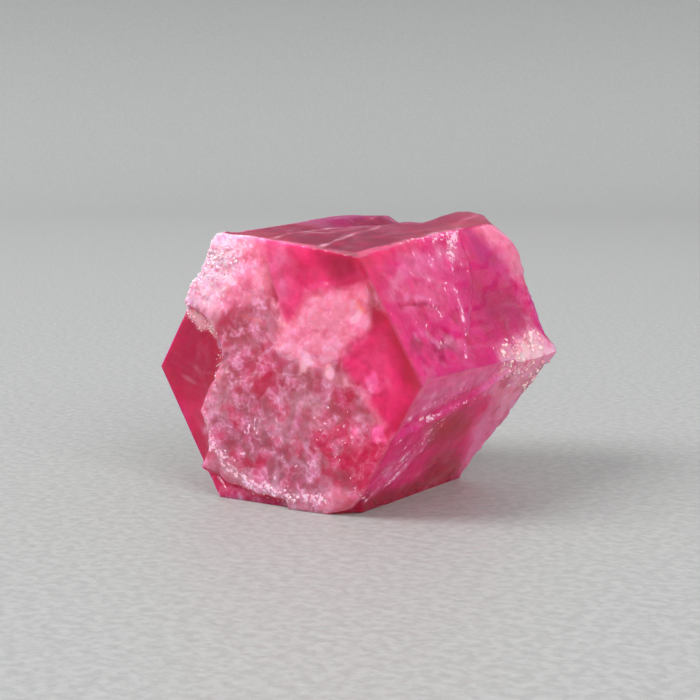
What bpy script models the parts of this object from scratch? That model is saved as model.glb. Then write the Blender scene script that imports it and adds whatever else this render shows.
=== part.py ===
"""Red beryl crystal: one stout six-sided prism that lies on one of its prism faces.

The crystal's c-axis runs along +Y. At the near end, -Y, smooth panes of the old flat end face are
left between a granular crust that stands proud of them. The far end is broken off on a slant that
leans out over the ground, with lumps grown onto its right-hand edge. It grew as one piece, so it is
one solid. Everything is in metres, +Z is up, and the origin is on the ground under the middle of
the bounding box.
"""

import math
from functools import partial

import bmesh
import bpy
from mathutils import Vector, noise

MM = 0.001

# Driving dimensions. Lists of places on the crystal are in millimetres. The shape is drawn about
# the c-axis, and settle() then puts the origin at the middle of the bounding box's foot.
ACROSS_FLATS = 7.0 * MM
AXIS_X = 0.035 * MM
MID_HEIGHT = ACROSS_FLATS / 2
NEAR_Y = -4.03 * MM
PRISM_LENGTH = 12.0 * MM

# The far break: its distance along +Y at the middle of the section, and how much further it is per
# unit of height and of width. The top edge is the longest.
FAR_Y = 2.62 * MM
FAR_LEAN = 0.35
FAR_SKEW = 0.11

# Flat cuts that take a corner off, each through three points.
CUTS = {
    "shallow facet along the top near edge": ((-1.2, -4.03, 7.0), (2.05, 0.75, 7.0), (2.25, -4.03, 6.58)),
    "chamfer over the upper far corner": ((2.06, 2.75, 7.0), (2.55, 3.5, 6.1), (1.3, 3.85, 7.0)),
    "broken upper left far corner": ((-2.6, 3.2, 6.0), (-0.9, 3.75, 7.0), (-2.02, 2.6, 7.0)),
    "chip at the near lower right": ((2.02, -3.6, 0.0), (2.4, -4.03, 0.66), (1.35, -4.03, 0.0)),
    "chip at the far lower left": ((-2.02, 0.7, 0.0), (-2.6, 1.2, 1.0), (-0.9, 1.3, 0.0)),
}

# The prism faces in order round the section, seen from the near end: the way each one looks, in
# degrees up from +X, and its distance from the c-axis, which differs a little as on any real prism.
FACES = {
    "upper right": (30, 0.5 * ACROSS_FLATS),
    "top": (90, 0.5 * ACROSS_FLATS),
    "upper left": (150, 0.5 * ACROSS_FLATS),
    "lower left": (210, 0.519 * ACROSS_FLATS),
    "bottom": (270, 0.5 * ACROSS_FLATS),
    "lower right": (330, 0.5 * ACROSS_FLATS),
}

# Growth terraces and broken strips: face, outline, and height at the near and far side. A place on
# a face is (y, distance): from the top edge downwards, or on the top face from left to right.
TERRACES = (
    ("top", ((-5.0, -1.0), (-5.0, 1.45), (0.25, 0.55), (2.7, 1.25), (5.0, 1.4), (5.0, -1.0)), 0.02, 0.3),
    ("upper right", ((-2.6, -1.0), (1.3, -1.0), (0.9, 1.3), (-0.9, 3.2), (-2.4, 2.6)), 0.05, 0.05),
    ("lower right", ((-5.0, -1.0), (0.4, -1.0), (1.2, 0.2), (-0.5, 0.85), (-2.2, 1.35), (-5.0, 1.75)), -0.14, -0.1),
    ("upper left", ((-2.0, 0.8), (2.2, -1.0), (5.0, -1.0), (5.0, 2.3), (0.4, 3.3)), 0.1, 0.1),
    ("upper left", ((0.6, -1.0), (5.0, -1.0), (5.0, 1.2), (1.7, 1.9)), 0.09, 0.09),
    ("lower left", ((-5.0, 1.6), (-1.2, 1.1), (1.4, 2.4), (0.6, 5.0), (-5.0, 5.0)), -0.08, -0.08),
)
TERRACE_EDGE = 0.06 * MM
TERRACE_REACH = 6.0 * MM
TERRACE_FADE = 0.5 * MM

# Smooth panes of the near end, as outlines in (x, z).
PANES = (
    ((-4.6, 3.5), (-3.3, 5.1), (-2.25, 4.65), (-2.0, 4.1), (-2.15, 3.2), (-2.7, 2.3), (-2.42, 1.9),
     (-2.4, 1.4), (-2.65, 0.85), (-3.6, 1.0)),
    ((-2.8, 0.8), (-1.5, 0.42), (-1.15, 0.28), (0.1, 0.16), (0.4, -0.4), (-2.4, -0.4)),
    ((-0.75, 7.3), (2.3, 7.2), (2.9, 6.2), (2.1, 5.95), (0.6, 5.7), (0.15, 4.85), (-0.35, 5.4)),
    ((2.8, 5.2), (3.5, 5.1), (4.6, 3.5), (3.7, 2.2), (3.3, 2.4), (2.95, 3.1), (2.65, 4.3)),
)
CRUST_RISE = 0.15 * MM
CRUST_EDGE = 0.1 * MM
CRUST_ROLL = 0.06 * MM
CRUST_GRAIN = 0.09 * MM

# The sugary corner at the upper left of the near end.
CORNER = Vector((-2.6, -3.8, 6.1)) * MM
CORNER_REACH = 1.5 * MM
CORNER_GRAIN = 0.2 * MM

# Lumps and hollows: centre, radius and push.
LUMPS = (
    ((1.15, 3.3, 7.1), 0.85, (0.0, 0.05, 0.42)),
    ((3.95, 2.75, 3.6), 0.42, (0.02, 0.5, 0.1)),
    ((3.75, 2.3, 2.9), 0.45, (-0.05, 0.3, -0.1)),
    ((3.1, 1.85, 1.8), 0.5, (-0.05, 0.22, -0.1)),
    ((-0.6, 2.6, 3.4), 1.2, (0.0, 0.3, 0.0)),
    ((1.3, 3.3, 5.1), 0.9, (0.0, -0.35, 0.05)),
    ((-2.4, 2.3, 2.6), 0.7, (0.0, -0.3, 0.0)),
    ((0.3, 1.6, 1.1), 0.7, (0.0, 0.2, 0.0)),
)
BREAK_RIDGE = 0.16 * MM

# Longest mesh edge by place, and how far, in its shortest edges, a mesh point may slide to an outline.
END_CELL = 0.27 * MM
BREAK_CELL = 0.38 * MM
FACE_CELL = 0.56 * MM
HALVINGS = 8
SLIDE = 0.42
PROBE = 0.02 * MM
LEAST_STEEPNESS = 0.2
NEAR_NORMAL = Vector((0.0, -1.0, 0.0))
GROUND_NORMAL = Vector((0.0, 0.0, -1.0))

CRIMSON = (0.72, 0.05, 0.22, 1.0)


def clear_scene():
    """Removes whatever the file holds, so that the script can be run again."""
    for thing in list(bpy.data.objects):
        bpy.data.objects.remove(thing, do_unlink=True)


def smooth(low, high, value):
    """0 below low, 1 above high, and an S-curve between them."""
    t = min(max((value - low) / (high - low), 0.0), 1.0)
    return t * t * (3.0 - 2.0 * t)


def lumpiness(point, cell):
    """Soft noise between -1 and 1 whose lumps are about one cell wide."""
    return noise.noise(point / cell)


class PrismFace:
    """One side of the prism, with its outward normal and its own two coordinates."""

    def __init__(self, name):
        look, self.offset = FACES[name]
        turn = math.radians(look)
        self.normal = Vector((math.cos(turn), 0.0, math.sin(turn)))
        self.across = Vector((-abs(self.normal.z), 0.0, -abs(self.normal.x)))
        if self.normal.x * self.normal.z > 0 or abs(self.normal.x) < 1e-6:
            self.across.x = -self.across.x
        self.start = Vector((0.0, 0.0, 0.0))

    def place(self, point):
        """(y, distance from the first corner) of a point on the face."""
        return point.y, (point - self.start).dot(self.across)


def section_corner(face, following):
    """Where two neighbouring prism faces meet, in the plane y = 0."""
    det = face.normal.x * following.normal.z - face.normal.z * following.normal.x
    x = (face.offset * following.normal.z - following.offset * face.normal.z) / det
    z = (following.offset * face.normal.x - face.offset * following.normal.x) / det
    return Vector((AXIS_X + x, 0.0, MID_HEIGHT + z))


def prism_faces():
    """All prism faces by name, each measured from its upper or left corner, and the section's corners."""
    faces = {name: PrismFace(name) for name in FACES}
    ring = list(faces.values())
    corners = [section_corner(face, after) for face, after in zip(ring, ring[1:] + ring[:1])]
    for face, before, after in zip(ring, corners[-1:] + corners[:-1], corners):
        face.start = min(before, after, key=lambda corner: corner.dot(face.across))
    return faces, corners


def cut_off(shape, point, normal):
    """Takes off what lies beyond the plane, on the side that its normal points to, and closes the cut."""
    everything = shape.verts[:] + shape.edges[:] + shape.faces[:]
    bmesh.ops.bisect_plane(
        shape, geom=everything, dist=1e-7, plane_co=point, plane_no=normal, clear_outer=True
    )
    rim = [edge for edge in shape.edges if edge.is_boundary]
    if rim:
        bmesh.ops.edgeloop_fill(shape, edges=rim)
        bmesh.ops.recalc_face_normals(shape, faces=shape.faces)


def outward_plane(points):
    """The plane through three points, its normal turned away from the crystal's middle."""
    first, second, third = (Vector(point) * MM for point in points)
    normal = (second - first).cross(third - first).normalized()
    inwards = Vector((0.0, 0.0, MID_HEIGHT)) - first
    return first, -normal if normal.dot(inwards) > 0 else normal


def flat_cut_shape(corners):
    """The prism with its near end, its slanted far break and its flat cuts."""
    shape = bmesh.new()
    end = shape.faces.new([shape.verts.new(corner + Vector((0.0, NEAR_Y, 0.0))) for corner in corners])
    drawn = bmesh.ops.extrude_face_region(shape, geom=[end])
    far = [part for part in drawn["geom"] if isinstance(part, bmesh.types.BMVert)]
    bmesh.ops.translate(shape, verts=far, vec=(0.0, PRISM_LENGTH, 0.0))
    bmesh.ops.recalc_face_normals(shape, faces=shape.faces)
    cut_off(shape, Vector((0.0, FAR_Y, MID_HEIGHT)), break_normal())
    for points in CUTS.values():
        cut_off(shape, *outward_plane(points))
    return shape


def break_normal():
    return Vector((-FAR_SKEW, 1.0, -FAR_LEAN)).normalized()


def gap_to_break(point):
    """How far a point is in front of the far break's plane."""
    return break_normal().dot(Vector((0.0, FAR_Y, MID_HEIGHT)) - point)


def longest_edge_at(point):
    """The longest mesh edge that is allowed at this place."""
    if point.y < NEAR_Y + END_CELL or (point - CORNER).length < CORNER_REACH:
        return END_CELL
    return BREAK_CELL if gap_to_break(point) < BREAK_CELL else FACE_CELL


def refine(shape):
    """Halves the edges that are too long for their place, a few times over. The faces stay flat."""
    bmesh.ops.triangulate(shape, faces=shape.faces)
    for _ in range(HALVINGS):
        too_long = []
        for edge in shape.edges:
            middle = (edge.verts[0].co + edge.verts[1].co) / 2
            if edge.calc_length() > longest_edge_at(middle):
                too_long.append(edge)
        if not too_long:
            break
        bmesh.ops.subdivide_edges(shape, edges=too_long, cuts=1)
        bmesh.ops.triangulate(shape, faces=shape.faces, quad_method="BEAUTY", ngon_method="BEAUTY")


def outline_distance(outline, a, b):
    """Distance from (a, b) to a closed outline given in millimetres, negative inside it."""
    nearest = math.inf
    inside = False
    for (a0, b0), (a1, b1) in zip(outline, outline[1:] + outline[:1]):
        run = ((a1 - a0) * MM, (b1 - b0) * MM)
        from_start = (a - a0 * MM, b - b0 * MM)
        along = (from_start[0] * run[0] + from_start[1] * run[1]) / (run[0] ** 2 + run[1] ** 2)
        along = min(max(along, 0.0), 1.0)
        nearest = min(nearest, math.hypot(from_start[0] - along * run[0], from_start[1] - along * run[1]))
        if (b0 * MM > b) != (b1 * MM > b) and from_start[0] < from_start[1] * run[0] / run[1]:
            inside = not inside
    return -nearest if inside else nearest


def crust_level(point):
    """Distance to the ragged edge of the nearest pane: positive on the crust."""
    ragged = 0.1 * MM * lumpiness(point, 0.55 * MM)
    return min(outline_distance(outline, point.x, point.z) for outline in PANES) + ragged


def crust_height(point):
    """How far the crust stands proud of the panes: a plateau with a ragged edge and grains."""
    roll = CRUST_ROLL * lumpiness(point, 1.4 * MM)
    grain = CRUST_GRAIN * lumpiness(point + Vector((0.0, 0.3 * MM, 0.0)), 0.42 * MM)
    return smooth(0.0, CRUST_EDGE, crust_level(point)) * (CRUST_RISE + roll + grain)


def corner_height(point):
    """The rounded grains of the sugary corner, which fade out with distance from it."""
    fade = 1.0 - smooth(0.55 * CORNER_REACH, CORNER_REACH, (point - CORNER).length)
    to_grain = noise.voronoi(point / (0.5 * MM))[0][0]
    return fade * CORNER_GRAIN * (0.75 - to_grain)


def break_height(point):
    """The far break's relief: shell-like ridges with smaller lumps on them."""
    shifted = point + Vector((0.0, 0.0, 9.0 * MM))
    ridges = 1.0 - 2.0 * abs(lumpiness(shifted, 1.5 * MM))
    return BREAK_RIDGE * (ridges + 0.6 * lumpiness(point, 0.6 * MM))


def terrace_level(face, outline, point):
    """Distance from a point of the prism face to the terrace's outline, negative inside it."""
    return outline_distance(outline, *face.place(point))


def terrace_height(terrace, place):
    """A terrace's own height, which changes evenly along +Y, inside its outline."""
    _, outline, near_height, far_height = terrace
    inside = smooth(-TERRACE_EDGE, TERRACE_EDGE, -outline_distance(outline, *place))
    away_from_end = smooth(NEAR_Y, NEAR_Y + TERRACE_FADE, place[0])
    share = smooth(NEAR_Y, NEAR_Y + TERRACE_REACH, place[0])
    return inside * away_from_end * (near_height + share * (far_height - near_height)) * MM


def lump_move(point):
    """The sum of all lumps and hollows, each a round hill that fades out from its centre."""
    move = Vector((0.0, 0.0, 0.0))
    for centre, radius, push in LUMPS:
        reach = (point - Vector(centre) * MM).length / (radius * MM)
        move += Vector(push) * MM * math.exp(-reach * reach)
    return move


def lies_on(vert, normal):
    """True if one of the flat faces round the mesh point has this normal."""
    return any(face.normal.dot(normal) > 0.999 for face in vert.link_faces)


def slide_to_outline(vert, level, directions):
    """Moves a mesh point onto a nearby outline, the zero of level, unless that is too far."""
    here = level(vert.co)
    reach = SLIDE * min(edge.calc_length() for edge in vert.link_edges)
    if abs(here) > reach:
        return
    slopes = [(level(vert.co + way * PROBE) - here) / PROBE for way in directions]
    steepness = sum(slope * slope for slope in slopes)
    if steepness > LEAST_STEEPNESS:
        uphill = directions[0] * slopes[0] + directions[1] * slopes[1]
        shift = uphill * (-here / steepness)
        vert.co += shift * min(1.0, reach / max(shift.length, PROBE))


def fit_outlines(shape, faces):
    """Slides mesh points inside a flat face onto the edges of the panes and terraces."""
    for vert in shape.verts:
        if any(face.normal.dot(vert.link_faces[0].normal) < 0.999 for face in vert.link_faces):
            continue
        if lies_on(vert, NEAR_NORMAL):
            slide_to_outline(vert, crust_level, (Vector((1.0, 0.0, 0.0)), Vector((0.0, 0.0, 1.0))))
        for name, outline, _, _ in TERRACES:
            face = faces[name]
            if lies_on(vert, face.normal):
                level = partial(terrace_level, face, outline)
                slide_to_outline(vert, level, (Vector((0.0, 1.0, 0.0)), face.across))


def relief(vert, faces):
    """How far a mesh point moves from the flat-cut shape."""
    point = vert.co
    move = lump_move(point) + vert.normal * corner_height(point)
    if lies_on(vert, NEAR_NORMAL):
        move.y -= crust_height(point)
    if lies_on(vert, break_normal()):
        move += break_normal() * break_height(point)
    for terrace in TERRACES:
        face = faces[terrace[0]]
        if lies_on(vert, face.normal):
            move += face.normal * terrace_height(terrace, face.place(point))
    return move


def add_relief(shape, faces):
    """Moves all mesh points by the relief. The face that the crystal lies on stays flat."""
    shape.normal_update()
    moved = [(vert, vert.co + relief(vert, faces)) for vert in shape.verts]
    for vert, spot in moved:
        spot.z = 0.0 if lies_on(vert, GROUND_NORMAL) else max(spot.z, 0.01 * MM)
    for vert, spot in moved:
        vert.co = spot


def settle(shape):
    """Moves the shape so that the origin is at the middle of its bounding box's foot."""
    low, high = (Vector(pick(vert.co[axis] for vert in shape.verts) for axis in range(3)) for pick in (min, max))
    middle = (low + high) / 2
    bmesh.ops.translate(shape, verts=shape.verts, vec=(-middle.x, -middle.y, 0.0))


def beryl_material():
    """Deep pinkish red, glossy."""
    material = bpy.data.materials.new("red_beryl")
    material.use_nodes = True
    surface = material.node_tree.nodes["Principled BSDF"]
    surface.inputs["Base Color"].default_value = CRIMSON
    surface.inputs["Roughness"].default_value = 0.2
    surface.inputs["Metallic"].default_value = 0.0
    surface.inputs["IOR"].default_value = 1.57
    return material


def main():
    clear_scene()
    faces, corners = prism_faces()
    shape = flat_cut_shape(corners)
    refine(shape)
    fit_outlines(shape, faces)
    add_relief(shape, faces)
    settle(shape)
    mesh = bpy.data.meshes.new("crystal")
    shape.to_mesh(mesh)
    shape.free()
    mesh.materials.append(beryl_material())
    bpy.context.scene.collection.objects.link(bpy.data.objects.new("crystal", mesh))


main()
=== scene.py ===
"""Red beryl crystal: its fine surface and its finish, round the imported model.

A stout hexagonal prism lies on one of its prism faces. This file makes its fine surface, the sugary
grains on its near end and the crumbs of matrix on its edges, and stands a plain studio round it.
Sizes on the crystal are in millimetres, in the frame in which its section is drawn about the c-axis,
and Frame.place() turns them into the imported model's metres.
"""

from __future__ import annotations

import logging
import math
from dataclasses import dataclass, field
from enum import Enum
from itertools import product
from typing import Any, Callable, Sequence

import bpy
import numpy as np
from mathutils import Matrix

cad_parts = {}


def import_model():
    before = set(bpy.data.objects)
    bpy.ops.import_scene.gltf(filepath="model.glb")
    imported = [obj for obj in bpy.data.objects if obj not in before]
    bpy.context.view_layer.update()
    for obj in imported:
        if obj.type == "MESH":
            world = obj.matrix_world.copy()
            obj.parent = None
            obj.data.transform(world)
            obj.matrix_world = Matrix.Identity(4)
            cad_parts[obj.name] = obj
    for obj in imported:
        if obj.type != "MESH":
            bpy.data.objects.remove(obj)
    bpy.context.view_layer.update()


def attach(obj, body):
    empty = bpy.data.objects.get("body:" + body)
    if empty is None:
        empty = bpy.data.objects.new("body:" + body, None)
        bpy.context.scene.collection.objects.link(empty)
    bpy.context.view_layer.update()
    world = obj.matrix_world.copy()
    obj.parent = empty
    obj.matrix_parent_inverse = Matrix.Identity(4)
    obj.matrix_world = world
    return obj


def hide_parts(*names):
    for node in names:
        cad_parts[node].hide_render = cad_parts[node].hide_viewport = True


Array = np.ndarray
Pair = tuple[float, float]
Triple = tuple[float, float, float]

MM = 0.001
FAR_OFF = 9.0  # More than any distance in cells, or share of a way, that is compared with it.
LOG = logging.getLogger("red_beryl")

# Paths of cracks, each in the two coordinates of its side.
CROSS_FRACTURE = (
    (0.88, 0.05), (0.48, 0.51), (-0.1, 0.94), (-0.3, 1.4), (-0.55, 1.92), (-0.6, 2.4), (-0.9, 2.9),
)
BRANCH = ((-2.47, 0.47), (-2.58, 0.76), (-2.2, 1.24), (-1.33, 1.47), (-0.62, 1.6))
FEATHER = ((-2.0, 1.75), (-2.4, 2.3), (-3.0, 2.9), (-3.7, 3.6))
LEFT_CRACK = ((1.5, 0.0), (1.1, 1.0), (1.35, 2.0), (0.9, 3.1), (1.1, 4.2))
LOW_CRACK = ((-0.4, 0.0), (-0.1, 1.2), (-0.5, 2.3), (0.0, 4.2))
FAR_CRACK = ((-2.6, 2.6), (-1.0, 3.4), (0.6, 3.0), (2.4, 4.0))
TOP_STEP = ((-4.5, 1.63), (-0.22, 0.85), (2.06, 1.57))


# ---------------------------------------------------------------- fields over points


def smooth(low: float, high: float, value: Array) -> Array:
    """0 below low, 1 above high and an S-curve between: 3t squared minus 2t cubed.

    Args:
        low: where the curve starts.
        high: where the curve ends.
        value: the values to shape.

    Returns:
        The shaped values, from 0 to 1.
    """
    t = np.clip((value - low) / (high - low), 0.0, 1.0)
    return t * t * (3.0 - 2.0 * t)


def lattice_hash(cells: Array, seed: int) -> Array:
    """A repeatable random number from 0 to 1 for each whole-numbered lattice point.

    The three indices are multiplied by large odd numbers, mixed by exclusive or and cut to 32 bits.

    Args:
        cells: whole numbers, shape (..., 3).
        seed: picks another set of numbers.

    Returns:
        Numbers from 0 to 1, one for each lattice point.
    """
    whole = cells.astype(np.int64)
    mixed = whole[..., 0] * 73856093 ^ whole[..., 1] * 19349663 ^ whole[..., 2] * 83492791
    mixed = (mixed ^ (seed * 2654435761)) & 0xFFFFFFFF
    mixed = (mixed ^ (mixed >> 15)) * 2246822519 & 0xFFFFFFFF
    mixed = (mixed ^ (mixed >> 13)) * 3266489917 & 0xFFFFFFFF
    return (mixed ^ (mixed >> 16)).astype(np.float64) / 0xFFFFFFFF


def soft_noise(points: Array, cell: float, seed: int = 0) -> Array:
    """Soft noise from -1 to 1: lattice values blended by an S-curve along each of three axes.

    Args:
        points: shape (..., 3).
        cell: the size of one lump.
        seed: picks another pattern.

    Returns:
        The noise at each point.
    """
    scaled = points / cell
    base = np.floor(scaled)
    part = scaled - base
    part = part * part * (3.0 - 2.0 * part)
    total = np.zeros(points.shape[:-1])
    for step in np.array(list(product((0, 1), repeat=3))):
        weight = np.prod(np.where(step == 1, part, 1.0 - part), axis=-1)
        total += weight * lattice_hash(base + step, seed)
    return total * 2.0 - 1.0


def layered_noise(points: Array, cell: float, octaves: int, seed: int = 0) -> Array:
    """A sum of soft noises, each half as wide and half as strong as the one before.

    Args:
        points: shape (..., 3).
        cell: the size of the widest lumps.
        octaves: how many noises there are.
        seed: picks another pattern.

    Returns:
        The sum at each point.
    """
    total = np.zeros(points.shape[:-1])
    for octave in range(octaves):
        total += soft_noise(points, cell / 2**octave, seed + octave) / 2**octave
    return total


def grain_noise(points: Array, cell: float, seed: int = 0) -> tuple[Array, Array]:
    """Packed grains: each lattice cell holds one random seed point, and a grain is what is nearest it.

    Args:
        points: shape (..., 3).
        cell: the mean size of a grain.
        seed: picks another pattern.

    Returns:
        The distance to the nearest seed point in cells, and the gap to the second nearest.
    """
    scaled = points / cell
    base = np.floor(scaled)
    nearest = np.full(points.shape[:-1], FAR_OFF)
    second = np.full(points.shape[:-1], FAR_OFF)
    for step in np.array(list(product((-1, 0, 1), repeat=3))):
        home = base + step
        jitter = np.stack([lattice_hash(home, seed + 11 * k) for k in range(3)], axis=-1)
        gap = np.linalg.norm(home + jitter - scaled, axis=-1)
        second = np.minimum(second, np.maximum(nearest, gap))
        nearest = np.minimum(nearest, gap)
    return nearest, second - nearest


def path_distance(path: Sequence[Pair], a: Array, b: Array) -> Array:
    """Distance from (a, b) to an open path of straight pieces, or to a single point.

    Args:
        path: the points of the path in order.
        a: first coordinates.
        b: second coordinates.

    Returns:
        The distance to the nearest piece.
    """
    if len(path) == 1:
        return np.hypot(a - path[0][0], b - path[0][1])
    nearest = np.full(a.shape, np.inf)
    for (a0, b0), (a1, b1) in zip(path, path[1:]):
        run_a, run_b = a1 - a0, b1 - b0
        along = np.clip(((a - a0) * run_a + (b - b0) * run_b) / (run_a**2 + run_b**2), 0.0, 1.0)
        nearest = np.minimum(nearest, np.hypot(a - a0 - along * run_a, b - b0 - along * run_b))
    return nearest


def outline_distance(outline: Sequence[Pair], a: Array, b: Array) -> Array:
    """Signed distance from (a, b) to a closed outline: negative inside, by counting edge crossings.

    Args:
        outline: the outline's corners in order.
        a: first coordinates.
        b: second coordinates.

    Returns:
        The distance to the nearest edge, with its sign.
    """
    closed = (*outline, outline[0])
    nearest = path_distance(closed, a, b)
    inside = np.zeros(a.shape, bool)
    for (a0, b0), (a1, b1) in zip(closed, closed[1:]):
        if b1 != b0:
            inside ^= ((b0 > b) != (b1 > b)) & (a - a0 < (b - b0) * (a1 - a0) / (b1 - b0))
    return np.where(inside, -nearest, nearest)


# ---------------------------------------------------------------- the crystal's form


@dataclass(frozen=True)
class Frame:
    """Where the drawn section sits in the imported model's own frame."""

    shift: Triple = (0.0023, 0.105, 0.0)

    def place(self, points: Array) -> Array:
        """Millimetres in the drawn frame to metres in the model's frame."""
        return (points + np.array(self.shift)) * MM


class Side(Enum):
    """The parts of the crystal's surface; places on an end are (x, z), on a face (y, across)."""

    NEAR = "near end"
    FAR = "far break"
    UPPER_RIGHT = "upper right"
    TOP = "top"
    UPPER_LEFT = "upper left"
    LOWER_LEFT = "lower left"
    BOTTOM = "bottom"
    LOWER_RIGHT = "lower right"


@dataclass(frozen=True)
class PrismFace:
    """One face of the prism: the way it looks, in degrees up from +X, and its distance from the axis."""

    side: Side
    look: float
    offset: float

    @property
    def normal(self) -> Array:
        """The outward normal."""
        turn = math.radians(self.look)
        return np.array((math.cos(turn), 0.0, math.sin(turn)))

    @property
    def across(self) -> Array:
        """The direction down the face, or from left to right on the flat ones.

        Returns:
            A unit vector in the plane of the section.
        """
        nx, _, nz = self.normal
        if abs(nx) < 1e-6:
            return np.array((1.0, 0.0, 0.0))
        return np.array((abs(nz) * (1.0 if nx * nz > 0 else -1.0), 0.0, -abs(nx)))


@dataclass(frozen=True)
class Cut:
    """A flat facet through three points, beyond which the crystal is taken away."""

    points: tuple[Triple, Triple, Triple]


@dataclass(frozen=True)
class Terrace:
    """A raised or sunk area of a prism face, with its height at the near and at the far side."""

    side: Side
    outline: tuple[Pair, ...]
    near_height: float
    far_height: float
    edge: float = 0.045


@dataclass(frozen=True)
class Scar:
    """A fracture's line on a prism face, as a low ridge or, where its height is negative, a groove."""

    side: Side
    path: tuple[Pair, ...]
    height: float
    width: float = 0.07


@dataclass(frozen=True)
class Lump:
    """A round hill or hollow: every point within its reach is pushed the same way."""

    centre: Triple
    radius: float
    push: Triple


@dataclass(frozen=True)
class Pane:
    """A bare flat part of the near end, the width over which the crust rises round it, and how much."""

    outline: tuple[Pair, ...]
    slope: float
    sunk: float = 1.0


@dataclass
class Surface:
    """A closed two-parameter surface: rows from the near pole to the far one, columns round the prism."""

    flat: Array
    points: Array
    region: Array
    scale: Array
    face_index: Array


class Region(Enum):
    """The three parts of the surface's long parameter."""

    NEAR_END = 0
    SIDES = 1
    FAR_BREAK = 2


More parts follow.
